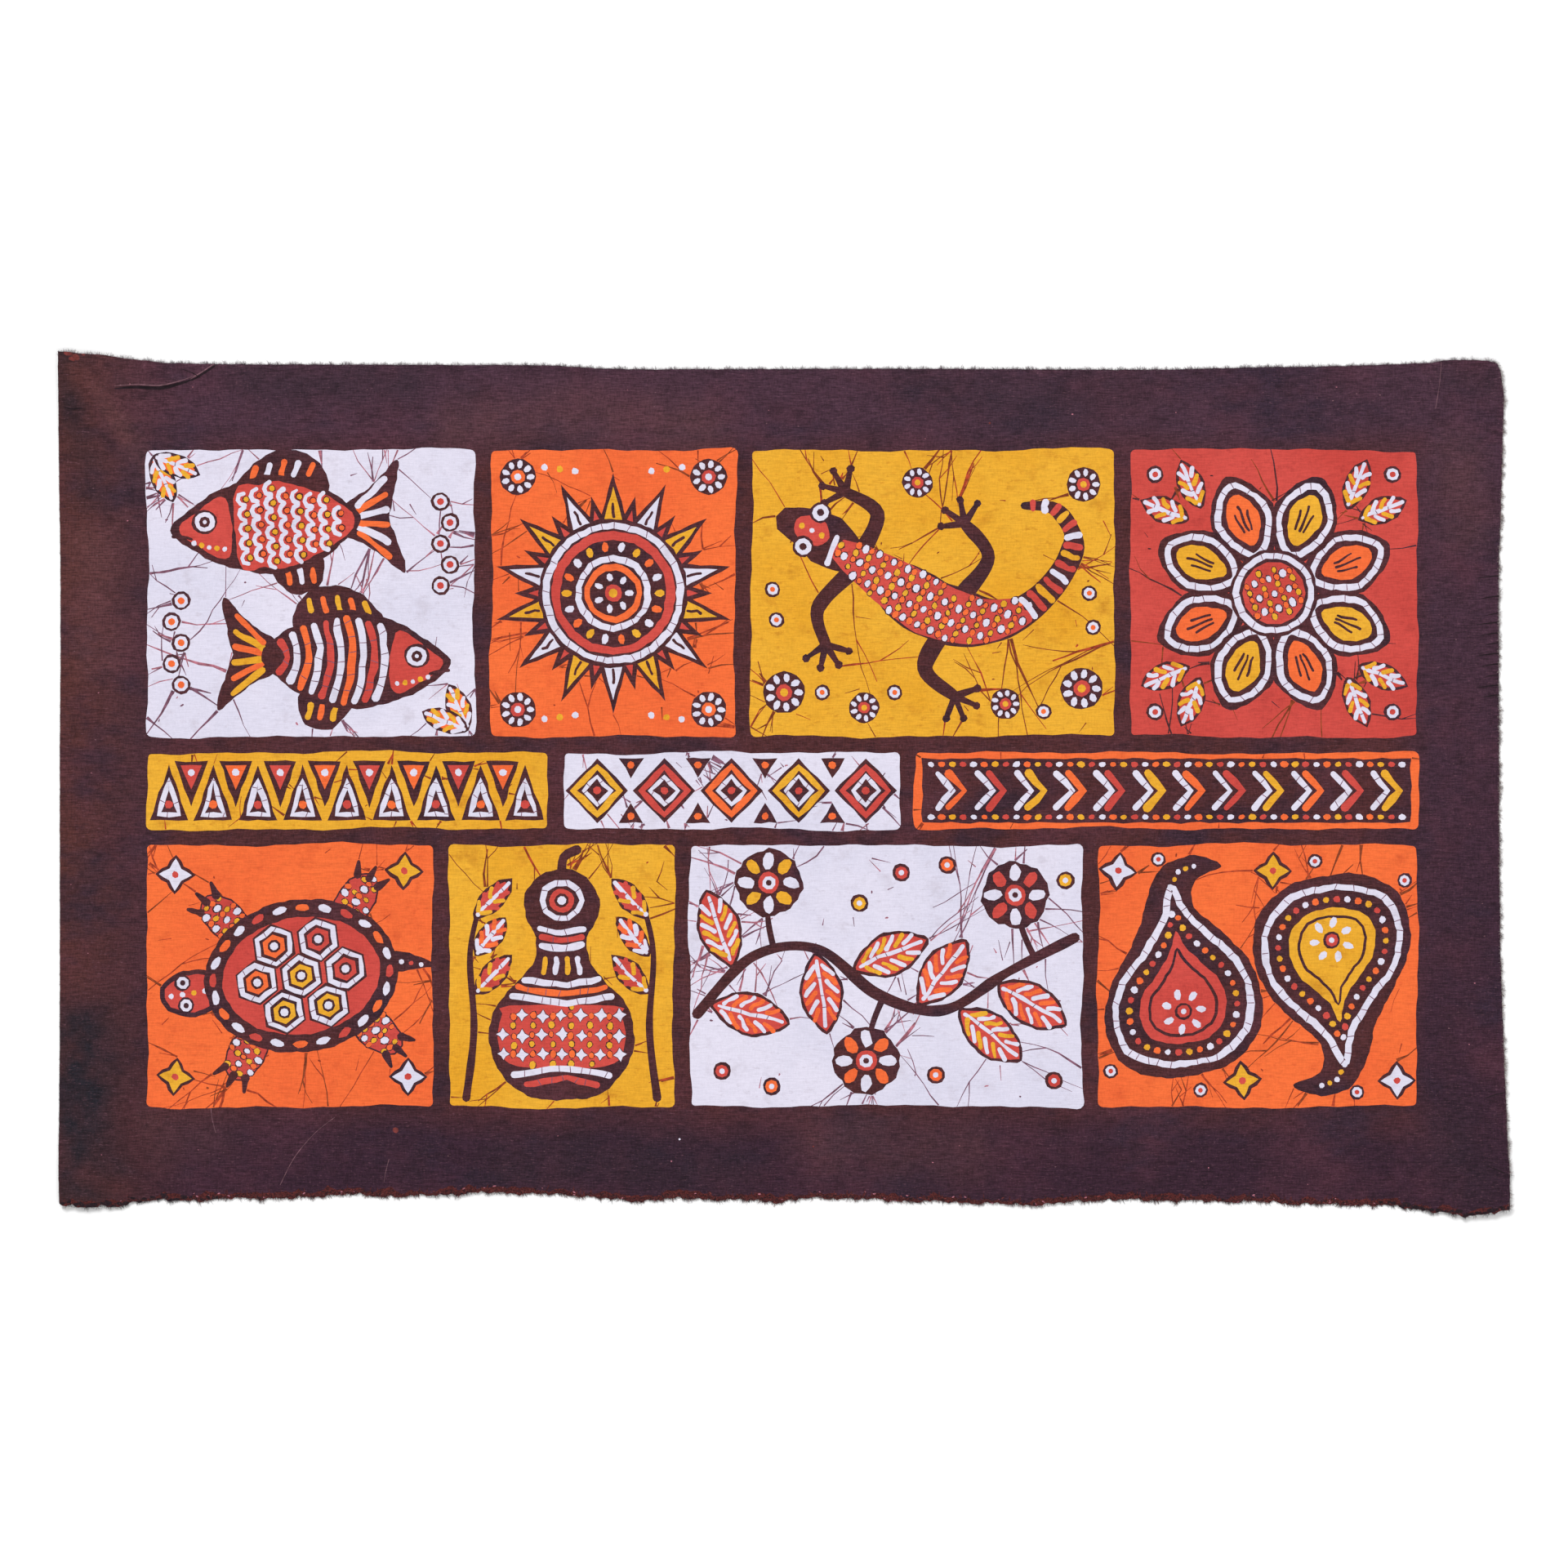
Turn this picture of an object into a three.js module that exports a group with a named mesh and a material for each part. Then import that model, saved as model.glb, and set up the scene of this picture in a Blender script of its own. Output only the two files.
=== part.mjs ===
// A hand-dyed batik cloth, laid out flat: one cotton sheet with raw edges, 760 mm by about 440 mm.
// Millimetres, +Z up. The sheet rests on z = 0 with its picture side up, X along its length and
// +Y towards its upper edge, and the origin under the middle of its box.
import * as THREE from "three";

// Driving dimensions
const LENGTH = 760;
const FULL_WIDTH = 453;
const THICKNESS = 1.0;

const HALF_LENGTH = LENGTH / 2;
const HALF_WIDTH = FULL_WIDTH / 2;

// The raw edges, as how far the cloth stops short of its box, at places along each edge.
const UPPER_EDGE = [
  { x: -380, short: 0 },
  { x: -360, short: 1.6 },
  { x: -340, short: 4.0 },
  { x: -322, short: 6.0 },
  { x: -282, short: 6.6 },
  { x: -130, short: 7.0 },
  { x: -78, short: 9.2 },
  { x: 60, short: 8.9 },
  { x: 190, short: 9.4 },
  { x: 280, short: 7.8 },
  { x: 338, short: 6.4 },
  { x: 356, short: 4.3 },
  { x: 374, short: 4.6 },
  { x: 380, short: 6.2 },
];
const LOWER_EDGE = [
  { x: -380, short: 6.8 },
  { x: -368, short: 4.8 },
  { x: -352, short: 5.0 },
  { x: -338, short: 8.0 },
  { x: -302, short: 8.4 },
  { x: -284, short: 9.9 },
  { x: -265, short: 9.0 },
  { x: -228, short: 11.6 },
  { x: -208, short: 10.2 },
  { x: -152, short: 12.4 },
  { x: -114, short: 11.2 },
  { x: -84, short: 8.6 },
  { x: -77, short: 7.6 },
  { x: -58, short: 9.4 },
  { x: -18, short: 8.3 },
  { x: -2, short: 7.4 },
  { x: 17, short: 9.8 },
  { x: 74, short: 7.7 },
  { x: 130, short: 6.0 },
  { x: 168, short: 8.6 },
  { x: 243, short: 7.7 },
  { x: 281, short: 6.1 },
  { x: 319, short: 5.6 },
  { x: 337, short: 3.1 },
  { x: 357, short: 0 },
  { x: 372, short: 2.4 },
  { x: 380, short: 3.2 },
];
const LEFT_EDGE = [
  { y: -227, short: 0.6 },
  { y: -212, short: 0 },
  { y: -120, short: 0.5 },
  { y: 40, short: 0.5 },
  { y: 100, short: 1.5 },
  { y: 130, short: 0 },
  { y: 227, short: 0 },
];
const RIGHT_EDGE = [
  { y: -227, short: 0 },
  { y: -206, short: 0 },
  { y: -188, short: 0.9 },
  { y: -155, short: 2.1 },
  { y: -137, short: 3.0 },
  { y: -116, short: 4.5 },
  { y: -30, short: 5.1 },
  { y: 110, short: 5.6 },
  { y: 135, short: 5.4 },
  { y: 172, short: 3.6 },
  { y: 208, short: 2.9 },
  { y: 220, short: 4.2 },
  { y: 227, short: 6.4 },
];

// Where the cloth lifts off what it lies on: corners and edges that curl up a little.
const LIFTS = [
  { x: -384, y: 232, reach: 74, rise: 3.2 },
  { x: -384, y: -230, reach: 66, rise: 2.6 },
  { x: 384, y: -232, reach: 70, rise: 3.0 },
  { x: 384, y: 228, reach: 52, rise: 1.8 },
  { x: 386, y: 96, reach: 34, rise: 1.2 },
  { x: 386, y: -128, reach: 40, rise: 1.5 },
  { x: -168, y: -236, reach: 46, rise: 1.4 },
  { x: 132, y: -236, reach: 40, rise: 1.1 },
];

// Soft folds that run across the plain border, from their first point to their last. Each is
// highest at its middle, and still has part of its rise where it starts.
const FOLD_START = 0.15;
const SOFT_FOLDS = [
  { from: { x: -366, y: 216 }, to: { x: -334, y: 158 }, half: 15, rise: 1.2 },
  { from: { x: -364, y: -214 }, to: { x: -352, y: -150 }, half: 16, rise: 1.0 },
  { from: { x: 350, y: -196 }, to: { x: 378, y: -168 }, half: 12, rise: 0.9 },
];

// The sharp crease in the upper left of the border, which runs out at the upper edge.
const CREASE = [
  { x: -350, y: 207.6, rise: 1.3 },
  { x: -336, y: 207.4, rise: 1.7 },
  { x: -321, y: 209.1, rise: 1.4 },
  { x: -308, y: 212.8, rise: 1.1 },
  { x: -298, y: 219.6, rise: 0.9 },
];
const CREASE_UPPER_SIDE = 5.0;
const CREASE_LOWER_SIDE = 2.6;
const CREASE_RUN_OUT = 4.0;

// Grid lines: spans of the length and the width, and how far apart the lines are in each.
const LENGTH_SPANS = [
  { to: -290, step: 5 },
  { to: 345, step: 15 },
  { to: HALF_LENGTH, step: 5 },
];
const WIDTH_SPANS = [
  { to: -190, step: 9 },
  { to: 165, step: 50 },
  { to: 199, step: 11 },
  { to: HALF_WIDTH, step: 3.4 },
];

const smoothed = (t) => t * t * (3 - 2 * t);

// The value in column "value" of a table, read at a place along its column "key".
function readTable(table, key, value, at) {
  if (at <= table[0][key]) return table[0][value];
  for (let i = 1; i < table.length; i++) {
    const a = table[i - 1];
    const b = table[i];
    if (at <= b[key]) {
      return a[value] + (b[value] - a[value]) * smoothed((at - a[key]) / (b[key] - a[key]));
    }
  }
  return table[table.length - 1][value];
}

// How far a point is from a segment, which side of it the point is on, and how far along it is.
function offSegment(x, y, a, b) {
  const dx = b.x - a.x;
  const dy = b.y - a.y;
  const raw = ((x - a.x) * dx + (y - a.y) * dy) / (dx * dx + dy * dy);
  const share = Math.min(1, Math.max(0, raw));
  const distance = Math.hypot(x - a.x - share * dx, y - a.y - share * dy);
  return { distance, share, above: dx * (y - a.y) - dy * (x - a.x) > 0 };
}

function creaseRise(x, y) {
  let highest = 0;
  for (let i = 1; i < CREASE.length; i++) {
    const a = CREASE[i - 1];
    const b = CREASE[i];
    const { distance, share, above } = offSegment(x, y, a, b);
    const side = above ? CREASE_UPPER_SIDE : CREASE_LOWER_SIDE;
    const slope = Math.max(0, 1 - distance / side);
    highest = Math.max(highest, (a.rise + (b.rise - a.rise) * share) * smoothed(slope));
  }
  const runOut = Math.min(1, Math.max(0, (x - CREASE[0].x) / CREASE_RUN_OUT + 1));
  return highest * runOut;
}

// How high the underside of the cloth lies above what it rests on.
function heightAt(x, y) {
  let height = 0;
  for (const lift of LIFTS) {
    const near = Math.max(0, 1 - Math.hypot(x - lift.x, y - lift.y) / lift.reach);
    height += lift.rise * smoothed(near);
  }
  for (const fold of SOFT_FOLDS) {
    const { distance, share } = offSegment(x, y, fold.from, fold.to);
    const across = smoothed(Math.max(0, 1 - distance / fold.half));
    const along = Math.sin(Math.PI * (FOLD_START + (1 - 2 * FOLD_START) * share));
    height += fold.rise * across * along;
  }
  return height + creaseRise(x, y);
}

function gridLines(start, spans) {
  const lines = [start];
  let from = start;
  for (const { to, step } of spans) {
    const count = Math.round((to - from) / step);
    for (let i = 1; i <= count; i++) lines.push(from + ((to - from) * i) / count);
    from = to;
  }
  return lines;
}

// A point of the grid, carried from the plain rectangle to the cloth's uneven outline.
function onCloth(x, y) {
  const left = -HALF_LENGTH + readTable(LEFT_EDGE, "y", "short", y);
  const right = HALF_LENGTH - readTable(RIGHT_EDGE, "y", "short", y);
  const placedX = left + ((x + HALF_LENGTH) / LENGTH) * (right - left);
  const upper = HALF_WIDTH - readTable(UPPER_EDGE, "x", "short", x);
  const lower = -HALF_WIDTH + readTable(LOWER_EDGE, "x", "short", x);
  const placedY = lower + ((y + HALF_WIDTH) / FULL_WIDTH) * (upper - lower);
  return { x: placedX, y: placedY };
}

// The cloth as one closed sheet: its upper face, its underside and the rim between them.
function sheetGeometry() {
  const columns = gridLines(-HALF_LENGTH, LENGTH_SPANS);
  const rows = gridLines(-HALF_WIDTH, WIDTH_SPANS);
  const positions = [];
  for (const raised of [0, THICKNESS]) {
    for (const row of rows) {
      for (const column of columns) {
        const { x, y } = onCloth(column, row);
        positions.push(x, y, heightAt(x, y) + raised);
      }
    }
  }
  const wide = columns.length;
  const layer = wide * rows.length;
  const under = (i, j) => j * wide + i;
  const upper = (i, j) => layer + under(i, j);
  const triangles = [];
  const quad = (a, b, c, d) => triangles.push(a, b, c, a, c, d);
  for (let j = 0; j + 1 < rows.length; j++) {
    for (let i = 0; i + 1 < wide; i++) {
      quad(upper(i, j), upper(i + 1, j), upper(i + 1, j + 1), upper(i, j + 1));
      quad(under(i, j), under(i, j + 1), under(i + 1, j + 1), under(i + 1, j));
    }
  }
  const lastRow = rows.length - 1;
  const lastColumn = wide - 1;
  for (let i = 0; i < lastColumn; i++) {
    quad(under(i, 0), under(i + 1, 0), upper(i + 1, 0), upper(i, 0));
    quad(under(i + 1, lastRow), under(i, lastRow), upper(i, lastRow), upper(i + 1, lastRow));
  }
  for (let j = 0; j < lastRow; j++) {
    quad(under(0, j + 1), under(0, j), upper(0, j), upper(0, j + 1));
    quad(under(lastColumn, j), under(lastColumn, j + 1), upper(lastColumn, j + 1), upper(lastColumn, j));
  }
  const geometry = new THREE.BufferGeometry();
  geometry.setAttribute("position", new THREE.Float32BufferAttribute(positions, 3));
  geometry.setIndex(triangles);
  geometry.computeVertexNormals();
  return geometry;
}

const dyedCotton = new THREE.MeshStandardMaterial({ color: 0x4e3038, roughness: 0.9, metalness: 0 });

const cloth = new THREE.Mesh(sheetGeometry(), dyedCotton);
cloth.name = "cloth";

const batik = new THREE.Group();
batik.add(cloth);

export default batik;
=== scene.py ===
import math

import bpy
import numpy as np
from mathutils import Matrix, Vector
from mathutils.bvhtree import BVHTree
from mathutils.geometry import delaunay_2d_cdt


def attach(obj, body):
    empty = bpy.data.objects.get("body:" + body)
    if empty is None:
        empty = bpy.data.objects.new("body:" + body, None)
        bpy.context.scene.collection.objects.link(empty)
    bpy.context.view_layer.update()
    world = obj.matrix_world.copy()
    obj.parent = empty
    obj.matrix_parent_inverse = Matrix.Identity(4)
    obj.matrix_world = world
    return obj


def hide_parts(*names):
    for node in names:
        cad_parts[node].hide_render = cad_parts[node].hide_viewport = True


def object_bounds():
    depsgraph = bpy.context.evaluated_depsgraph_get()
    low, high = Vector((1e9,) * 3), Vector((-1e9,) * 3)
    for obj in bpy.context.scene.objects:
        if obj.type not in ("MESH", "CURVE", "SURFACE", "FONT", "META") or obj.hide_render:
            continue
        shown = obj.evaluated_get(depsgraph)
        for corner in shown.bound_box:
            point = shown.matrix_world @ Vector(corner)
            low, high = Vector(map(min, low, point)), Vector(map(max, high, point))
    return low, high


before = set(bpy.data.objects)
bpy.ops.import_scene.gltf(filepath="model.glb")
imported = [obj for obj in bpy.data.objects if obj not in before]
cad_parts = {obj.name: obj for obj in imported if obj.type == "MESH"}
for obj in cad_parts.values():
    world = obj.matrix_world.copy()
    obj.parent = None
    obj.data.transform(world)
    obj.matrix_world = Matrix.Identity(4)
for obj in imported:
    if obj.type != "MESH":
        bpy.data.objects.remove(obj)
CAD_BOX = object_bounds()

# A batik cloth laid out flat. Places and sizes are in millimetres, on the frame's own axes, until
# a mesh is made. The picture is cut into the sheet's faces: each face wears the dye that shows.

MM = 0.001
LENGTH = (CAD_BOX[1].x - CAD_BOX[0].x) / MM
PHOTO_SIDE = 1920
PHOTO_CLOTH_LENGTH = 1776
PIXEL = LENGTH / PHOTO_CLOTH_LENGTH

THICKNESS = 0.4
SOLID_THICKNESS = 1.0
GUTTER = 8.5
BLOCK_LEFT = -334.0
BLOCK_HIGH = 175.0
PANEL_CORNER = 2.4
OUTLINE = 1.8
WAX_LINE = 3.0
CURVE_STEP = 2.75
DOT = 1.7
DOT_RING = 0.45
DOT_PITCH = 8.4

# What each dye shows in daylight, as sRGB out of 255
DYES = {
    "ground": (78, 41, 43),
    "white": (228, 223, 240),
    "yellow": (236, 174, 52),
    "orange": (246, 113, 58),
    "red": (210, 79, 71),
    "plum": (122, 82, 100),
    "rose": (166, 104, 118),
    "umber": (130, 60, 34),
    "rust": (160, 62, 38),
    "lint": (96, 52, 48),
    # pale_ground is also a painted highlight along sharp creases; shadow is painted shade beside them, and
    # also the dark knots and lumps along the lower edge
    "pale_ground": (112, 80, 88),
    "shadow": (38, 26, 32),
    "stain": (108, 51, 49),
}

# What shows in the thin cracks across a line of wax
BREAK_DYE = "plum"


def from_photo(points):
    """Places on the cloth from pixels of the 1920 x 1920 photograph."""
    p = np.atleast_2d(np.asarray(points, float))
    return np.stack([p[:, 0] - PHOTO_SIDE / 2, PHOTO_SIDE / 2 - p[:, 1]], 1) * PIXEL


# Curves and outlines

def through(points, closed, step=CURVE_STEP):
    """Points about a step apart on a smooth curve through the given ones."""
    p = np.asarray(points, float)
    count = len(p)
    pieces = []
    for i in range(count if closed else count - 1):
        if closed:
            a, b, c, d = p[i - 1], p[i], p[(i + 1) % count], p[(i + 2) % count]
        else:
            a, b, c, d = p[max(i - 1, 0)], p[i], p[i + 1], p[min(i + 2, count - 1)]
        steps = max(1, round(np.linalg.norm(c - b) / step))
        t = (np.arange(steps) / steps)[:, None]
        curve = 2 * b + (c - a) * t
        curve = curve + (2 * a - 5 * b + 4 * c - d) * t**2 + (3 * b - a - 3 * c + d) * t**3
        pieces.append(curve / 2)
    if not closed:
        pieces.append(p[-1:])
    return np.vstack(pieces)


def straight(points, closed, step=5.0):
    """Points about a step apart on straight sides between the given ones."""
    p = np.asarray(points, float)
    pieces = []
    for i in range(len(p) if closed else len(p) - 1):
        b, c = p[i], p[(i + 1) % len(p)]
        steps = max(1, round(np.linalg.norm(c - b) / step))
        pieces.append(b + (c - b) * (np.arange(steps) / steps)[:, None])
    if not closed:
        pieces.append(p[-1:])
    return np.vstack(pieces)


def as_given(points, closed):
    return np.asarray(points, float)


def arc(x, y, radius, start, end, count=7):
    """Points on an arc, its two angles in degrees."""
    angles = np.radians(np.linspace(start, end, count))
    return np.stack([x + radius * np.cos(angles), y + radius * np.sin(angles)], 1)


def polar(x, y, radius, degrees):
    """The one point that lies so far from another, in a direction in degrees."""
    return arc(x, y, radius, degrees, degrees, 1)[0]


def ellipse(x, y, across, up, turn=0.0, count=10):
    """Points round an ellipse with the given half axes, turned by some degrees."""
    angles = np.linspace(0, 2 * math.pi, count, endpoint=False)
    flat = np.stack([across * np.cos(angles), up * np.sin(angles)], 1)
    return placing(x, y, turn)(flat)


def unit(vectors):
    return vectors / np.maximum(np.linalg.norm(vectors, axis=-1), 1e-9)[..., None]


def leftward(vectors):
    """The direction a quarter turn to the left of each vector, at length one."""
    return unit(np.stack([-vectors[..., 1], vectors[..., 0]], -1))


def anticlockwise(outline):
    x, y = outline[:, 0], outline[:, 1]
    area = np.sum(x * np.roll(y, -1) - np.roll(x, -1) * y)
    return outline if area > 0 else outline[::-1]


def outward(outline):
    """The direction out of a closed anticlockwise outline at each of its points."""
    return -leftward(np.roll(outline, -1, 0) - np.roll(outline, 1, 0))


def grown(outline, by):
    return outline + outward(outline) * np.reshape(by, (-1, 1))


def uneven(rng, count, amount, reach=4):
    """Numbers about 1 that drift smoothly from one to the next."""
    knots = np.maximum(1 + rng.normal(0, amount, count // reach + 3), 0.2)
    return np.interp(np.linspace(0, len(knots) - 1, count), np.arange(len(knots)), knots)


def by_hand(rng, outline, amount, reach):
    """A closed outline as a hand draws it: in and out by about amount, over stretches of reach."""
    steps = np.linalg.norm(np.roll(outline, -1, 0) - outline, axis=1)
    share = (np.cumsum(steps) - steps) / steps.sum()
    push = np.zeros(len(outline))
    for pace in (0.5, 1.0, 1.9):
        waves = max(1, round(steps.sum() / reach * pace))
        push += np.sin(2 * math.pi * (waves * share + rng.uniform())) / 1.8
    return grown(outline, push * amount)


def inside(points, outline, part=8000):
    """Which of the points lie inside an outline, worked out a part of the points at a time."""
    ax, ay = outline.T
    bx, by = np.roll(ax, -1), np.roll(ay, -1)
    slope = (bx - ax) / np.where(by == ay, 1e-12, by - ay)
    found = [np.zeros(0, bool)]
    for i in range(0, len(points), part):
        x, y = points[i:i + part, 0, None], points[i:i + part, 1, None]
        crossed = ((ay > y) != (by > y)) & (x < ax + (y - ay) * slope)
        found.append(np.count_nonzero(crossed, axis=1) % 2 == 1)
    return np.concatenate(found)


def strip(path, widths, round_ends=True):
    """The outline of a line along a path, with its width at each point."""
    along = unit(np.gradient(path, axis=0))
    across = leftward(along)
    half = np.broadcast_to(np.reshape(widths, (-1, 1)), (len(path), 1)) / 2
    left, right = path + across * half, path - across * half
    if not round_ends:
        return np.vstack([right, left[::-1]])

    def cap(i, degrees):
        a = np.radians(degrees)[:, None]
        return path[i] + half[i] * (np.cos(a) * along[i] + np.sin(a) * across[i])

    return np.vstack([right, cap(-1, np.array([-50, 0, 50])), left[::-1], cap(0, np.array([130, 180, 230]))])


def placing(x, y, turn=0.0, size=1.0, flip=False):
    """Puts a motif's own points, given about its middle, in their place on the cloth."""
    c, s = math.cos(math.radians(turn)) * size, math.sin(math.radians(turn)) * size

    def put(points):
        p = np.atleast_2d(np.asarray(points, float))
        px = -p[:, 0] if flip else p[:, 0]
        return np.stack([x + c * px - s * p[:, 1], y + s * px + c * p[:, 1]], 1)

    return put


def measured(path):
    """A path's steps, and how far along it each of its points lies."""
    steps = np.linalg.norm(np.diff(path, axis=0), axis=1)
    return steps, np.concatenate([[0], np.cumsum(steps)])


# Drawing with wax and dye

class Wax:
    """One panel's picture: what is painted, in order, and the outlines its cracks run between."""

    def __init__(self, seed):
        self.rng = np.random.default_rng(seed)
        self.prints = []
        self.bodies = []

    def paint(self, dye, outline):
        self.prints.append((dye, outline))

    def shape(self, dye, points, line=0.0, curve=through, wobble=0.35, body=False):
        """A dyed shape drawn by hand, inside a dark line where one is asked for."""
        outline = by_hand(self.rng, anticlockwise(curve(points, True)), wobble, 14)
        edge = outline
        if line:
            edge = grown(outline, line * uneven(self.rng, len(outline), 0.14, 3))
            self.paint("ground", edge)
        if body:
            self.bodies.append(edge)
        self.paint(dye, outline)
        return outline

    def dark(self, points, curve=through, wobble=0.4):
        """A shape left to the dark ground, which cracks run to."""
        return self.shape("ground", points, curve=curve, wobble=wobble, body=True)

    def limb(self, points, widths):
        """A dark limb, stem or stalk along a curve."""
        path = through(points, False)
        share = np.linspace(0, 1, len(path))
        width = np.interp(share, np.linspace(0, 1, len(widths)), widths)
        outline = strip(path, width * uneven(self.rng, len(path), 0.07))
        self.bodies.append(outline)
        self.paint("ground", outline)
        return path

    def dot(self, dye, x, y, radius=DOT, stretch=1.0, turn=0.0):
        """A dot of wax, never quite round."""
        count = 7 if radius < 2.4 else 9
        angles = (np.arange(count) + self.rng.uniform()) * 2 * math.pi / count
        reach = radius * (1 + self.rng.uniform(-0.13, 0.13, count))
        flat = np.stack([reach * np.cos(angles) * stretch, reach * np.sin(angles) / stretch], 1)
        self.paint(dye, placing(x, y, turn + self.rng.normal(0, 9))(flat))

    def line(self, dye, points, width=WAX_LINE, breaks=9.0, closed=False, curve=through):
        """A line of wax, uneven and round at its ends, with thin cracks across it."""
        path = curve(points, closed)
        if closed:
            path = by_hand(self.rng, anticlockwise(path), 0.35, 12)
            half = width / 2 * uneven(self.rng, len(path), 0.12)
            outer, inner = grown(path, half), grown(path, -half)
            self.paint(dye, np.vstack([outer, outer[:1], inner[:1], inner[:0:-1], inner[:1]]))
        else:
            sway = (uneven(self.rng, len(path), 0.3, 3) - 1)[:, None]
            path = path + leftward(np.gradient(path, axis=0)) * sway
            self.paint(dye, strip(path, width * uneven(self.rng, len(path), 0.13, 3)))
        if breaks:
            self.break_across(path, width, breaks)

    def break_across(self, path, width, apart):
        steps, at = measured(path)
        spot = apart * self.rng.uniform(0.4, 1.0)
        while spot < at[-1] - 1.5:
            i = int(np.searchsorted(at, spot)) - 1
            ahead = (path[i + 1] - path[i]) / max(steps[i], 1e-6)
            here = path[i] + ahead * (spot - at[i])
            across = leftward(ahead) * 0.5 * width + ahead * self.rng.uniform(-0.18, 0.18) * width
            self.paint(BREAK_DYE, strip(np.array([here - across, here + across]), [0.5, 0.36], False))
            spot += apart * self.rng.uniform(0.5, 1.6)

    def rings(self, x, y, *bands):
        """Discs on discs, each given as its dye and radius, from the widest in."""
        for dye, radius in bands:
            count = max(8, round(2 * math.pi * radius / CURVE_STEP))
            disc = ellipse(x, y, radius, radius, self.rng.uniform(0, 90), count)
            self.paint(dye, by_hand(self.rng, disc, radius * 0.05, radius * 3))

    def dots(self, outline, pitch=DOT_PITCH, margin=0.6, turn=0.0, radius=DOT, stars=0.0,
             dyes=("white", "yellow", "orange")):
        """A red body filled with dark-ringed dots: white ones on a lattice, other dyes between
        them, and soft four-pointed stars for the white ones where a reach is given for them."""
        self.shape("red", grown(outline, -margin - 0.8), curve=as_given, wobble=0.1)
        room = grown(outline, -margin - radius)
        centre = outline.mean(0)
        reach = int(np.linalg.norm(outline - centre, axis=1).max() / pitch) + 1
        steps = np.arange(-reach, reach + 1)
        put = placing(centre[0], centre[1], turn)
        for dye, across, up in zip(dyes, (0, 0.5, 0.5), (0, 0.5, 0)):
            grid = np.stack(np.meshgrid(steps + across, steps + up), -1).reshape(-1, 2) * pitch
            spots = put(grid) + self.rng.uniform(-0.06, 0.06, grid.shape) * pitch
            for x, y in spots[inside(spots, room)]:
                size = radius * self.rng.uniform(0.84, 1.16) * (1.12 if dye == "white" else 0.94)
                if stars and dye == dyes[0]:
                    self.star(x, y, stars * self.rng.uniform(0.9, 1.1), turn, dye, None, DOT_RING)
                else:
                    self.dot("ground", x, y, size + DOT_RING, 1.1, 90 + turn)
                    self.dot(dye, x, y, size, 1.12, 90 + turn)

    def trail(self, dyes, path, apart=5.6, radius=DOT, stretch=1.0):
        """Dots in a row along a path, taking the dyes in turn."""
        _, at = measured(path)
        count = max(2, round(at[-1] / apart) + 1)
        ahead = np.gradient(path, axis=0)
        for k, spot in enumerate(np.linspace(0, at[-1], count)):
            x, y = np.interp(spot, at, path[:, 0]), np.interp(spot, at, path[:, 1])
            i = min(int(np.searchsorted(at, spot)), len(path) - 1)
            turn = math.degrees(math.atan2(ahead[i][1], ahead[i][0]))
            self.dot(dyes[k % len(dyes)], x, y, radius * self.rng.uniform(0.86, 1.12), stretch, turn)

    def star(self, x, y, reach, turn=0.0, dye="white", centre="red", line=0.0):
        """A small star with four soft points."""
        corners = np.arange(8)
        angles = np.radians(corners * 45 + turn + self.rng.uniform(-7, 7))
        radii = np.where(corners % 2 == 0, reach, reach * 0.52)
        points = np.stack([x + radii * np.cos(angles), y + radii * np.sin(angles)], 1)
        self.shape(dye, points, line, as_given if reach < 4.5 else through, 0.1, body=bool(centre))
        if centre:
            self.dot(centre, x, y, reach * 0.22)

    def rosette(self, x, y, radius, dyes=("white", "red", "yellow")):
        """A ring of dots about a ringed eye."""
        self.dark(ellipse(x, y, radius, radius), wobble=0.3)
        for a in np.arange(0, 360, 40):
            self.dot(dyes[0], *polar(x, y, radius * 0.7, a), radius * 0.19, 1.2, a)
        self.rings(x, y, (dyes[1], radius * 0.4), (dyes[2], radius * 0.2))

    def leaf(self, root, tip, width, dyes, fill="red"):
        """A dark pointed leaf, with its vein and side ribs as short strokes of wax on a fill."""
        root, tip = np.array(root, float), np.array(tip, float)
        along = tip - root
        across = leftward(along) * width / 2

        def at(a, b):
            return root + along * a + across * b * math.sin(math.pi * a) ** 0.75

        shares = (0.06, 0.22, 0.46, 0.7, 0.9)
        sides = [at(a, 1) for a in shares], [at(a, -1) for a in shares[::-1]]
        blade = self.dark([root, *sides[0], tip, *sides[1]])
        self.shape(fill, grown(blade, -1.5)[::2], curve=as_given, wobble=0.1)
        self.line("white", [at(0.1, 0), at(0.5, 0.04), at(0.9, 0)], 2.0, 10)
        places = np.arange(0.16, 0.72, 4.6 / np.linalg.norm(along))
        for k, a in enumerate(places):
            for side in (1, -1):
                stroke = [at(a, side * 0.27), at(min(a + 0.13, 0.9), side * 0.74)]
                self.line(dyes[k % len(dyes)], stroke, 2.2, 0)


# Motifs

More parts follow.
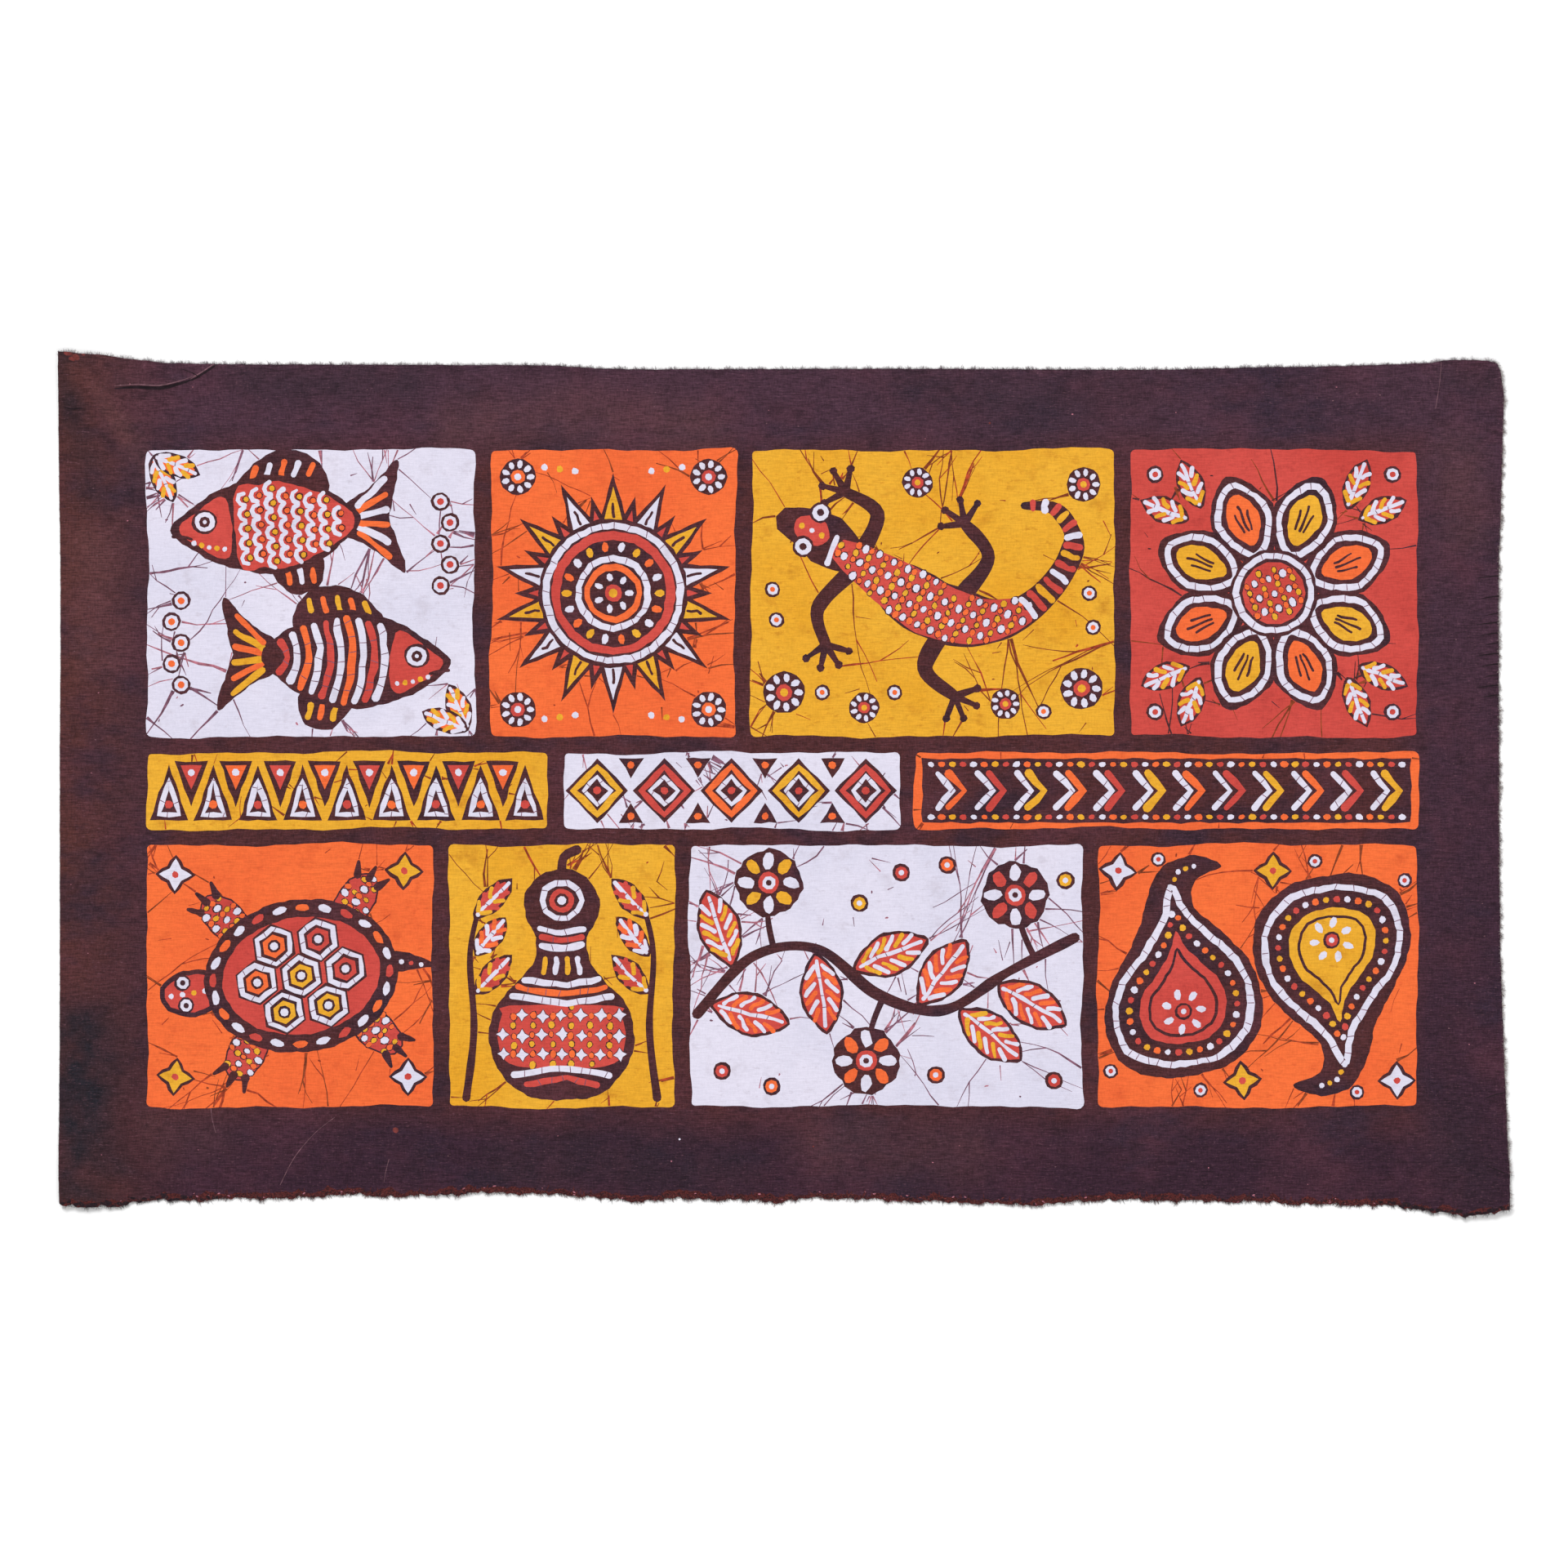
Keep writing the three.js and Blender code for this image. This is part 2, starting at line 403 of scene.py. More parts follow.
def fish(wax, put, scales, fins):
    """A fish seen from the side, 112 mm long before it is sized, facing left."""
    wax.dark(put([(27, 6), (42, 15), (57, 28), (54, 10), (51, 0), (54, -10), (57, -28), (42, -15), (27, -6)]))
    for k, lift in enumerate((-20, -12, -4, 4, 12, 20)):
        wax.line(fins[k % 2], put([(36, lift * 0.34), (50, lift * 0.96)]), 3.2, 0)
    wax.dark(put([(-22, 17), (-14, 31), (2, 37), (17, 31), (20, 14)]))
    wax.dark(put([(-9, -19), (0, -34), (15, -31), (15, -15)]))
    for k, x in enumerate((-14, -7, 0, 7, 14)):
        wax.line(fins[k % 2], put([(x - 1, 24), (x + 1, 31 - abs(x) * 0.16)]), 3.0, 0)
    for k, x in enumerate((-1, 5, 11)):
        wax.line(fins[k % 2], put([(x, -23), (x + 1, -29)]), 3.0, 0)
    lower = [(32, -7), (17, -18), (-4, -24), (-27, -20), (-45, -11)]
    upper = [(-45, 12), (-27, 21), (-4, 25), (17, 18), (32, 8)]
    wax.dark(put([(-57, 1), *upper, (37, 0), *lower]))
    wax.shape("red", put([(-53, 1), (-44, 9), (-31, 16), (-27, 6), (-27, -6), (-31, -15), (-44, -8)]))
    xs, ys = [-45, -27, -4, 17, 32, 37], [11, 20, 24.4, 18, 7.6, 0]
    if scales:
        side = [(x, np.interp(x, xs, ys) - 2.4) for x in (-24, -12, -2, 10, 22, 33)]
        wax.shape("red", put(side + [(x, -y) for x, y in side[::-1]]))
    for k, x in enumerate(np.arange(-21, 31, 6.6 if scales else 5.4)):
        high = np.interp(x, xs, ys) - 3.4
        if scales:
            for y in np.arange(-high + (3.4 if k % 2 else 0.6), high - 1, 7.2):
                wax.line("white", put(arc(x + 1.4, y + 2, 3.2, 95, 265, 5)), 2.3, 0)
                wax.dot("ground", *put([(x + 2.2, y + 2)])[0], 2.1)
                wax.dot(("yellow", "orange")[k % 2], *put([(x + 2.2, y + 2)])[0], 1.5)
        else:
            bow = [(x - 3.4 * (1 - t * t), t * high) for t in (-1, -0.5, 0, 0.5, 1)]
            wax.line(("white", "red", "white", "orange")[k % 4], put(bow), 3.7, 8.0)
    wax.rings(*put([(-40, 4)])[0], ("ground", 6.6), ("white", 5.3), ("ground", 3.0), ("white", 1.1))
    wax.line("ground", put([(-56, -2), (-47, -4)]), 1.7, 0)
    wax.trail(["white", "yellow"], put([(-46, -6), (-38, -9), (-31, -10)]), 4.6, 1.4)


def fish_pair(wax, box):
    x, y = box.middle
    for side in (-1, 1):
        root = (x + side * (box.wide / 2 - 3), y - side * (box.tall / 2 - 3))
        for turn in (-66, -22):
            tip = polar(*root, 27, turn + 90 * (1 + side))
            wax.leaf(root, tip, 12.5, ("white", "yellow"), "orange")
    fish(wax, placing(x - 13, y + 36, 4, 1.06), True, ("orange", "white"))
    fish(wax, placing(x + 13, y - 35, -3, 1.06, flip=True), False, ("yellow", "orange"))
    for k in range(5):
        for side, dye in ((-1, "orange"), (1, "red")):
            spot = (x + side * (68 + 5 * (k % 2)), y + side * (11 * k + 4))
            wax.rings(*spot, ("ground", 5.0), ("white", 3.7), (dye, 1.9))
            wax.bodies.append(ellipse(*spot, 5, 5))


def sun(wax, box):
    """A sun with long and short rays."""
    x, y = box.middle
    rays = 14
    for k in range(rays):
        short = placing(x, y, 360 * k / rays)
        wax.dark(short([(33, -6), (52, 0), (33, 6)]), straight, 0.2)
        wax.shape("red", short([(36, -2.6), (44.5, 0), (36, 2.6)]), curve=straight, wobble=0.1)
        ray = placing(x, y, 360 * (k + 0.5) / rays)
        wax.dark(ray([(33, -8.6), (63, 0), (33, 8.6)]), straight, 0.3)
        wax.shape(("white", "yellow")[k % 2], ray([(36, -5.4), (56, 0), (36, 5.4)]), curve=straight,
                  wobble=0.2)
        wax.line("ground", ray([(40, 0), (47, 0)]), 1.5, 0)
    wax.dark(ellipse(x, y, 39, 39, count=18))
    wax.line("white", ellipse(x, y, 35.2, 35.2, count=18), 3.4, 7.0, closed=True)
    wax.line("red", ellipse(x, y, 30.2, 30.2, count=16), 4.4, 0, closed=True)
    for k in range(18):
        turn = 20 * k
        wax.dot(("yellow", "white", "orange")[k % 3], *polar(x, y, 24.4, turn), 2.3, 1.2, turn)
    wax.line("white", ellipse(x, y, 18.2, 18.2, count=12), 3.2, 7.0, closed=True)
    wax.line("orange", ellipse(x, y, 13.6, 13.6, count=10), 3.2, 0, closed=True)
    for k in range(7):
        turn = 360 / 7 * k
        wax.dot("white", *polar(x, y, 8.4, turn), 1.9, 1.2, turn)
    wax.rings(x, y, ("red", 4.6), ("yellow", 2.4))
    for cx in (-1, 1):
        for cy in (-1, 1):
            wax.rosette(x + cx * 50, y + cy * 61, 9.5, ("white", "red" if cx == cy else "orange", "white"))
            for k in range(3):
                wax.dot(("white", "yellow", "white")[k], x + cx * (36 - 8 * k), y + cy * (66 - k), 1.8)


def gecko(wax, box):
    """A gecko seen from above, with a curving tail, and small rosettes round it."""
    x, y = box.middle
    put = placing(x, y - 2, 0, 1.04)
    limbs = [
        [(-36, 22), (-28, 42), (-44, 53)],
        [(-42, 12), (-58, -6), (-54, -24)],
        [(14, 0), (28, 20), (16, 37)],
        [(6, -16), (-4, -36), (11, -50)],
    ]
    for limb in limbs:
        wax.limb(put(limb), [9.5, 7.5, 5.5])
        ankle, foot = np.array(limb[1:], float)
        heading = math.degrees(math.atan2(*(foot - ankle)[::-1]))
        for spread in (-68, -25, 20, 62):
            toe = polar(*foot, 12, heading + spread)
            wax.limb(put([foot, toe]), [4.2, 2.4])
            wax.dot("ground", *put([toe])[0], 2.2)
    spine = [(-72, 38), (-60, 33), (-44, 22), (-22, 8), (0, -6), (24, -12), (44, -8), (62, 8),
             (71, 28), (62, 44), (46, 46)]
    widths = np.array([15, 28, 17, 28, 33, 28, 18, 14, 12, 9, 4])
    path = wax.limb(put(spine), widths)
    torso = put(spine[2:7])
    body = through(torso, False)
    room = strip(body, np.interp(np.linspace(0, 1, len(body)), np.linspace(0, 1, 5), widths[2:7]))
    wax.dots(anticlockwise(room), 8.2, 0.5, -25, 1.7)
    tail = path[int(len(path) * 0.64):]
    across = leftward(np.gradient(tail, axis=0))
    for k, i in enumerate(range(0, len(tail) - 2, 2)):
        half = 5.6 * (1 - 0.75 * i / len(tail))
        stripe = [tail[i] - across[i] * half, tail[i] + across[i] * half]
        wax.line(("white", "red", "yellow", "red")[k % 4], stripe, 3.2, 0)
    wax.line("white", put([(-48, 30), (-51, 24), (-53, 17)]), 2.8, 0)
    wax.shape("red", put(ellipse(-61, 33.5, 9.5, 7.4, -22)))
    for side in (-1, 1):
        eye = put([(-61 + 4.4 * side, 34 + 8.6 * side)])[0]
        wax.rings(*eye, ("ground", 5.6), ("white", 4.4), ("ground", 2.0))
    wax.trail(["yellow", "white"], put([(-66, 36), (-56, 31)]), 5.0, 1.6)
    rosettes = ((-78, -52, 11), (79, 57, 9), (78, -50, 11), (-8, 58, 8), (38, -58, 8), (-36, -60, 8))
    for cx, cy, size in rosettes:
        wax.rosette(x + cx, y + cy, size)
    for cx, cy in ((-84, 2), (-82, -14), (84, -18), (82, 0), (-20, -52), (58, -62), (-58, -52)):
        wax.rings(x + cx, y + cy, ("ground", 4.2), ("white", 3.0), ("orange", 1.4))


def flower(wax, box):
    """A wide open flower with eight petals, and a leaf pair in each corner."""
    x, y = box.middle
    for turn in (45, 135, 225, 315):
        put = placing(x, y, turn)
        for lean in (-1, 1):
            wax.leaf(*put([(58, lean * 4), (84, lean * 15)]), 14, ("yellow", "white"))
        wax.rings(*put([(88, 0)])[0], ("ground", 4.6), ("white", 3.3), ("red", 1.6))
    petal = [(15, 0), (26, -12), (42, -16.4), (57, -9), (63, 0), (57, 9), (42, 16.4), (26, 12)]
    inner = [(21, 0), (28.5, -8.6), (41.5, -12.6), (53, -7.4), (58, 0), (53, 7.4), (41.5, 12.6), (28.5, 8.6)]
    heart = [(26, 0), (31.5, -5.4), (41.5, -8.4), (50, -4.8), (53.4, 0), (50, 4.8), (41.5, 8.4), (31.5, 5.4)]
    for k in range(8):
        put = placing(x, y, 45 * k + 22.5, 1.04)
        wax.dark(put(petal))
        wax.line("white", put(inner), 3.3, 8.0, closed=True)
        wax.shape(("orange", "yellow")[k % 2], put(heart))
        for lift in (-3.4, 0, 3.4):
            wax.line("ground", put([(34, lift * 0.6), (47 - abs(lift), lift)]), 1.3, 0)
    wax.dark(ellipse(x, y, 23, 23, count=14))
    wax.line("white", ellipse(x, y, 19.6, 19.6, count=14), 3.2, 8.0, closed=True)
    wax.dots(ellipse(x, y, 17.6, 17.6, count=14), 8.0, 0.2, 20, 1.65)


def tortoise(wax, box):
    """A tortoise seen from above, with a shell of six-sided plates."""
    x, y = box.middle
    put = placing(x + 6, y, 9)
    for cx, cy, turn in ((-34, 35, 130), (-34, -35, 230), (34, 34, 50), (34, -34, -50)):
        leg = wax.dark(put(ellipse(cx, cy, 17, 10, turn)))
        wax.dots(leg, 7.6, 0.1, turn, 1.6)
        for spread in (-26, 0, 26):
            claw = [polar(cx, cy, radius, turn + spread) for radius in (14, 21)]
            wax.limb(put(claw), [4.4, 1.8])
    wax.dark(put([(46, 5), (58, 3), (69, -5), (56, -6), (46, -5)]))
    wax.trail(["white", "red"], put([(53, -1), (63, -4)]), 4.4, 1.3)
    head = wax.dark(put(ellipse(-58, 0, 17, 12.4, 0)))
    wax.shape("red", grown(head, -2.6), curve=as_given, wobble=0.1)
    for side in (-1, 1):
        wax.rings(*put([(-62, 6 * side)])[0], ("ground", 4.4), ("white", 3.3), ("ground", 1.5))
    wax.trail(["white", "yellow", "white"], put([(-51, 0), (-60, 0), (-69, 0)]), 5.4, 1.5)
    wax.dark(put(ellipse(0, 0, 51, 40, count=16)))
    for k in range(24):
        a = 2 * math.pi * (k + 0.5) / 24
        spot = put([(46.6 * math.cos(a), 35.6 * math.sin(a))])[0]
        tilt = math.degrees(math.atan2(35.6 * math.cos(a), -46.6 * math.sin(a))) + 9
        wax.dot(("white", "orange", "white", "red")[k % 4], *spot, 2.7, 1.4, tilt)
    plates = [(0, 0)] + [(23.4 * math.cos(a), 20.2 * math.sin(a)) for a in np.radians(np.arange(0, 360, 60))]
    wax.shape("red", put(ellipse(0, 0, 41.5, 30.6, count=16)))
    for k, (cx, cy) in enumerate(plates):
        hexagon = placing(*put([(cx, cy)])[0], 9)
        wax.shape("ground", hexagon(ellipse(0, 0, 12.4, 11.8, 30, 6)), curve=straight, wobble=0.1)
        wax.line("white", hexagon(ellipse(0, 0, 9.8, 9.2, 30, 6)), 2.7, 9.0, closed=True, curve=straight)
        wax.shape(("yellow", "red", "orange")[(k + 1) // 2 % 3], hexagon(ellipse(0, 0, 6.6, 6.1, 30, 6)),
                  curve=straight, wobble=0.1)
        wax.rings(*hexagon([(0, 0)])[0], ("ground", 3.5), ("white", 2.2))
    corner_stars(wax, box, ((-60, 53), (60, 55), (62, -53), (-60, -53)))


def corner_stars(wax, box, places):
    """Small stars round a motif: yellow towards two opposite corners, white towards the others."""
    x, y = box.middle
    for cx, cy in places:
        wax.star(x + cx, y + cy, 8.5, 0, "yellow" if cx * cy > 0 else "white", "red", OUTLINE)


def gourd(wax, box):
    """A bottle gourd with banded decoration, between two leaf sprays."""
    x, y = box.middle
    put = placing(x, y - 4)
    side = [(0, -61), (18, -59), (32, -47), (38, -31), (35, -13), (23, 1), (14.5, 12), (13.5, 24),
            (19, 35), (19, 47), (11, 57), (0, 60)]
    wax.limb(put([(0, 56), (1, 66), (8, 70)]), [5.5, 4.4, 5.4])
    wax.dark(put(side + [(-a, b) for a, b in side[-2:0:-1]]))
    belly = [(24, -44), (34, -31), (32, -16), (28, -11)]
    belly = through(put(belly + [(-a, b) for a, b in belly[::-1]]), True)
    wax.dots(anticlockwise(belly), 10.2, 0.0, 0, 1.75, 3.5)
    bands = ((-6.6, 26, 3.4, "white"), (-2.2, 23, 3.2, "orange"), (2.2, 19.5, 3, "white"),
             (20, 10.6, 1.8, "white"), (24.2, 10.6, 1.8, "red"), (28.4, 11.6, 1.8, "white"),
             (-48, 25, -3.6, "white"), (-53, 18.5, -3, "red"))
    for height, reach, bow, dye in bands:
        wax.line(dye, put([(-reach, height), (0, height - bow), (reach, height)]), 3.2, 8.0)
    for k, x_at in enumerate((-8.4, -2.8, 2.8, 8.4)):
        wax.line(("yellow", "white")[k % 2], put([(x_at * 1.15, 5.6), (x_at, 13)]), 2.8, 0)
    wax.line("white", put(ellipse(0, 43.5, 10.2, 9.4)), 3.0, 7.0, closed=True)
    wax.rings(*put([(0, 43.5)])[0], ("red", 6.4), ("ground", 3.8), ("white", 2.4))
    for flip in (-1, 1):
        wax.limb([(x + flip * 50, y - 64), (x + flip * 46, y - 28), (x + flip * 48, y + 12),
                  (x + flip * 42, y + 40)], [4.4, 3.4, 2.6])
        for k, height in enumerate((-4, 16, 36)):
            base = (x + flip * 46, y + height - 6)
            tip = (x + flip * (26 + 3 * (k % 2)), y + height + 15)
            wax.leaf(base, tip, 13, ("white", "orange") if k % 2 else ("yellow", "red"))


def vine(wax, box):
    """A waving stem with leaves on both sides, and open flowers."""
    x, y = box.middle
    stem = [(-99, -20), (-70, 10), (-36, 14), (-4, -10), (30, -18), (64, 2), (99, 20)]
    path = wax.limb(placing(x, y)(stem), [6.0, 5.0, 6.4, 5.2, 6.0])
    ahead = unit(np.gradient(path, axis=0))
    across = leftward(ahead)
    growth = ((-1, "leaf"), (1, "leaf"), (1, "bloom"), (-1, "leaf"), (1, "leaf"), (-1, "bloom"), (1, "leaf"),
              (-1, "leaf"), (-1, "leaf"), (1, "bloom"))
    for k, (side, kind) in enumerate(growth):
        i = int((0.05 + 0.094 * k) * (len(path) - 1))
        aside, onward = (41, 18) if kind == "leaf" else (34, 6)
        head = path[i] + across[i] * side * aside + ahead[i] * onward
        if kind == "leaf":
            dyes = (("white", "orange"), ("yellow", "white"), ("orange", "white"))[k % 3]
            wax.leaf(path[i] + across[i] * side * 2, head, 23, dyes)
        else:
            wax.limb([path[i], path[i] + across[i] * side * 16 + ahead[i], head], [3.4, 2.4])
            bloom(wax, *head, ("yellow", "orange", "red")[k // 4])
    beads = ((-86, -50), (-60, -58), (-14, 38), (8, 54), (32, 58), (94, 50), (88, -55), (26, -52))
    for k, (cx, cy) in enumerate(beads):
        wax.rings(x + cx, y + cy, ("ground", 4.8), (("red", "orange", "yellow")[k % 3], 3.4), ("white", 1.5))


def bloom(wax, x, y, dye):
    wax.dark(ellipse(x, y, 17.5, 17.5, count=12), wobble=0.8)
    for k in range(8):
        turn = 45 * k
        wax.dot(dye if k % 2 else "white", *polar(x, y, 11.6, turn), 3.7, 1.25, turn)
    wax.rings(x, y, ("red", 5.6), ("white", 3.6), ("ground", 1.6))


def paisley(wax, put, dye):
    """A drop with a bent tip, 100 mm long before it is sized."""
    wax.dark(put([(0, -44), (18, -41), (32, -30), (37, -13), (33, 6), (22, 21), (13, 31), (11, 40), (16, 47),
                  (27, 50), (15, 57), (0, 54), (-9, 42), (-14, 29), (-23, 15), (-33, 0), (-37, -16),
                  (-33, -32), (-19, -42)]))
    drop = [(0, -36), (14, -34), (25, -25), (29, -12), (26, 3), (16, 16), (7, 27), (2, 39), (-3, 26),
            (-13, 13), (-25, 0), (-29, -14), (-26, -27), (-14, -34)]

    def inner(size):
        return put([(a * size, (b + 12) * size - 12) for a, b in drop])

    wax.line("white", inner(1.09), 3.4, 7.0, closed=True)
    wax.trail(["yellow", "orange", "white", "red"], through([*inner(0.87), inner(0.87)[0]], False), 5.6, 1.75)
    wax.shape(dye, inner(0.70))
    wax.line("ground", inner(0.54), 1.5, 0, closed=True)
    for k in range(7):
        turn = 360 / 7 * k
        wax.dot("white", *put([polar(0, -14, 8.2, turn)])[0], 2.3, 1.25, turn)
    wax.rings(*put([(0, -14)])[0], ("ground", 4.6), ("red", 3.4), ("white", 1.5))
    wax.trail(["white", "yellow"], put([(2, 44), (7, 51), (14, 52)]), 4.4, 1.5)


def paisley_pair(wax, box):
    x, y = box.middle
    paisley(wax, placing(x - 41, y - 3, 8, 1.13), "red")
    paisley(wax, placing(x + 41, y + 3, 188, 1.13), "yellow")
    corner_stars(wax, box, ((-73, 55), (73, -55), (8, 55), (-8, -55)))
    for cx, cy in ((-52, 61), (52, -61), (30, 60), (-30, -60), (-77, -50), (77, 50)):
        wax.rings(x + cx, y + cy, ("ground", 4.0), ("white", 2.8), ("red", 1.3))


def triangle_band(wax, box):
    """Triangles in triangles, point to point."""
    pitch = box.wide / 9
    low, high = box.middle[1] - 15.5, box.middle[1] + 15.5
    for k in range(9):
        x = box.left + (k + 0.5) * pitch
        half = pitch / 2 - 1.6
        wax.dark([(x - half, low), (x + half, low), (x, high - 2)], straight)
        wax.line("white", [(x - half + 4.6, low + 3), (x + half - 4.6, low + 3), (x, high - 10)], 2.7, 8.0,
                 closed=True, curve=straight)
        wax.dot(("red", "orange")[k % 2], x, low + 8.2, 2.3)
        if k:
            x -= pitch / 2
            wax.dark([(x - 8.6, high), (x + 8.6, high), (x, low + 7)], straight)
            hanging = [(x - 5.6, high - 2.2), (x + 5.6, high - 2.2), (x, high - 15)]
            wax.shape("red" if k % 2 else "orange", hanging, curve=straight, wobble=0.15)
            wax.dot("white", x, high - 6, 2.0)


def diamond_band(wax, box):
    """Diamonds inside diamonds, in a row."""
    pitch = box.wide / 5
    y = box.middle[1]

    def diamond(x, across, up):
        return [(x + across, y), (x, y + up), (x - across, y), (x, y - up)]

    for k in range(5):
        x = box.left + (k + 0.5) * pitch
        wax.dark(diamond(x, pitch / 2 - 1.2, 17), straight)
        wax.line(("yellow", "red", "orange")[k % 3], diamond(x, pitch / 2 - 5.6, 12.6), 3.4, 0, closed=True,
                 curve=straight)
        wax.line("white", diamond(x, pitch / 2 - 10.6, 7.4), 2.4, 8.0, closed=True, curve=straight)
        wax.dot("red", x, y, 2.1)
        edge = box.left + k * pitch
        for side in (-1, 1) if k else ():
            base, tip = y + side * 17, y + side * 6.4
            wax.dark([(edge - 6.4, base), (edge, tip), (edge + 6.4, base)], straight)
            wax.dot("orange", edge, y + side * 13.4, 2.0)


def chevron_band(wax, box):
    """Nested chevrons on the dark ground, with a dotted row above and below."""
    pitch = (box.wide - 14) / 12
    x, y = box.middle
    across, up = box.wide / 2 - 3.4, 16.8
    corners = ((-1, -1), (1, -1), (1, 1), (-1, 1))
    wax.dark([(x + side * across, y + rise * up) for side, rise in corners], straight)
    for k in range(12):
        x = box.left + 7 + (k + 0.22) * pitch
        wax.line("white", [(x, y + 9), (x + 8, y), (x, y - 9)], 3.2, 8.0, curve=straight)
        wax.line(("orange", "red", "yellow")[k % 3], [(x + 6, y + 9), (x + 14, y), (x + 6, y - 9)], 3.8, 0,
                 curve=straight)
    for side in (-1, 1):
        row = np.array([(box.left + 8, y + side * 13.8), (box.right - 8, y + side * 13.8)])
        wax.trail(["white", "orange", "yellow", "red"], row, 5.6, 1.7, 1.15)


# The panels, in three rows, and how many cracks run over each

class Box:
    """A panel's place."""

    def __init__(self, left, high, wide, tall):
        self.left, self.right = left, left + wide
        self.low, self.high = high - tall, high
        self.wide, self.tall = wide, tall
        self.middle = (left + wide / 2, high - tall / 2)


ROWS = [
    {"tall": 150.0, "panels": [
        {"wide": 172.0, "dye": "white", "draw": fish_pair, "cracks": 135},
        {"wide": 128.0, "dye": "orange", "draw": sun, "cracks": 75},
        {"wide": 190.0, "dye": "yellow", "draw": gecko, "cracks": 100},
        {"wide": 150.5, "dye": "red", "draw": flower, "cracks": 50},
    ]},
    {"tall": 40.0, "panels": [
        {"wide": 210.0, "dye": "yellow", "draw": triangle_band, "cracks": 30},
        {"wide": 176.0, "dye": "white", "draw": diamond_band, "cracks": 60},
        {"wide": 263.0, "dye": "orange", "draw": chevron_band, "cracks": 10},
    ]},
    {"tall": 137.0, "panels": [
        {"wide": 150.0, "dye": "orange", "draw": tortoise, "cracks": 75},
        {"wide": 118.0, "dye": "yellow", "draw": gourd, "cracks": 60},
        {"wide": 205.0, "dye": "white", "draw": vine, "cracks": 150},
        {"wide": 167.5, "dye": "orange", "draw": paisley_pair, "cracks": 75},
    ]},
]

# What the last dye bath leaves in a crack, by the dye of the panel
CRACK_DYES = {
    "white": ("plum", "plum", "rose"),
    "yellow": ("umber", "umber", "rust"),
    "orange": ("umber", "rust", "rust"),
    "red": ("ground", "umber"),
}

# How the wax cracks: how often a crack sets out from a motif's tip and how far it leans, the gaps that it
# crosses, how often a long one forks, how many run together, and their widths and how often each comes
FROM_A_TIP = 0.3
LEAN_DEGREES = 26
SHORTEST_GAP = 2.5
USUAL_GAP = 20
LONG_GAP = 12
FORKED = 0.35
BUNDLE_ODDS = (0.55, 0.3, 0.15)
CRACK_WIDTHS = (0.48, 0.66, 0.95)
WIDTH_ODDS = (0.45, 0.38, 0.17)
CRACK_STEP = 7
TRIES = 30


def nearest_wall(start, heading, walls):
    """How far it is from a place to the first wall that lies in one direction."""
    a, side = walls[:, 0], walls[:, 1] - walls[:, 0]
    turn = heading[0] * side[:, 1] - heading[1] * side[:, 0]
    turn = np.where(np.abs(turn) < 1e-9, 1e-9, turn)
    gap = a - start
    far = (gap[:, 0] * side[:, 1] - gap[:, 1] * side[:, 0]) / turn
    at = (gap[:, 0] * heading[1] - gap[:, 1] * heading[0]) / turn
    hits = far[(far > 0.8) & (at >= 0) & (at <= 1)]
    return hits.min() if len(hits) else None


def crack_line(rng, start, end, width):
    """A crack from place to place: nearly straight, thinner and thicker as it goes."""
    length = np.linalg.norm(end - start)
    count = max(2, round(length / CRACK_STEP) + 1)
    share = np.linspace(0, 1, count)
    stray = np.cumsum(rng.normal(0, 0.5, count))
    stray -= stray[0] + (stray[-1] - stray[0]) * share
    stray += rng.uniform(-0.05, 0.05) * length * np.sin(math.pi * share)
    path = start + (end - start) * share[:, None] + leftward(end - start) * stray[:, None]
    taper = np.linspace(1.6, 0.65, count)
    return path, strip(path, width * taper * rng.uniform(0.6, 1.3, count), round_ends=False)


def crack_start(wax, walls, weights):
    """Where a crack sets out, and which way: from a motif's tip, or from anywhere on an edge."""
    rng = wax.rng
    if rng.uniform() < FROM_A_TIP:
        body = wax.bodies[rng.integers(len(wax.bodies))]
        a = rng.uniform(0, 2 * math.pi)
        out = np.array([math.cos(a), math.sin(a)])
        return body[np.argmax(body @ out)] + out * 0.3, out
    i = rng.choice(len(walls), p=weights)
    out = -leftward(walls[i, 1] - walls[i, 0])
    return walls[i].mean(0) + out * 0.3, out


def cracks(wax, field, count, dyes):
    """Cracks in a panel's wax, mostly across the narrow gaps from a motif's edge to the next."""
    rng = wax.rng
    walls = np.vstack([np.stack([o, np.roll(o, -1, 0)], 1) for o in [field[::-1]] + wax.bodies])
    lengths = np.linalg.norm(walls[:, 1] - walls[:, 0], axis=1)
    made = []
    for _ in range(TRIES * count):
        start, out = crack_start(wax, walls, lengths / lengths.sum())
        if not inside(start[None], field)[0] or any(inside(start[None], b)[0] for b in wax.bodies):
            continue
        heading = placing(0, 0, rng.normal(0, LEAN_DEGREES))(out)[0]
        far = nearest_wall(start, heading, walls)
        if far is None or far < SHORTEST_GAP or far > rng.exponential(USUAL_GAP) + 6:
            continue
        made += crack_bundle(rng, start, heading, far, dyes)
        if len(made) >= count:
            break
    return made + lone_cracks(rng, field, count, dyes)


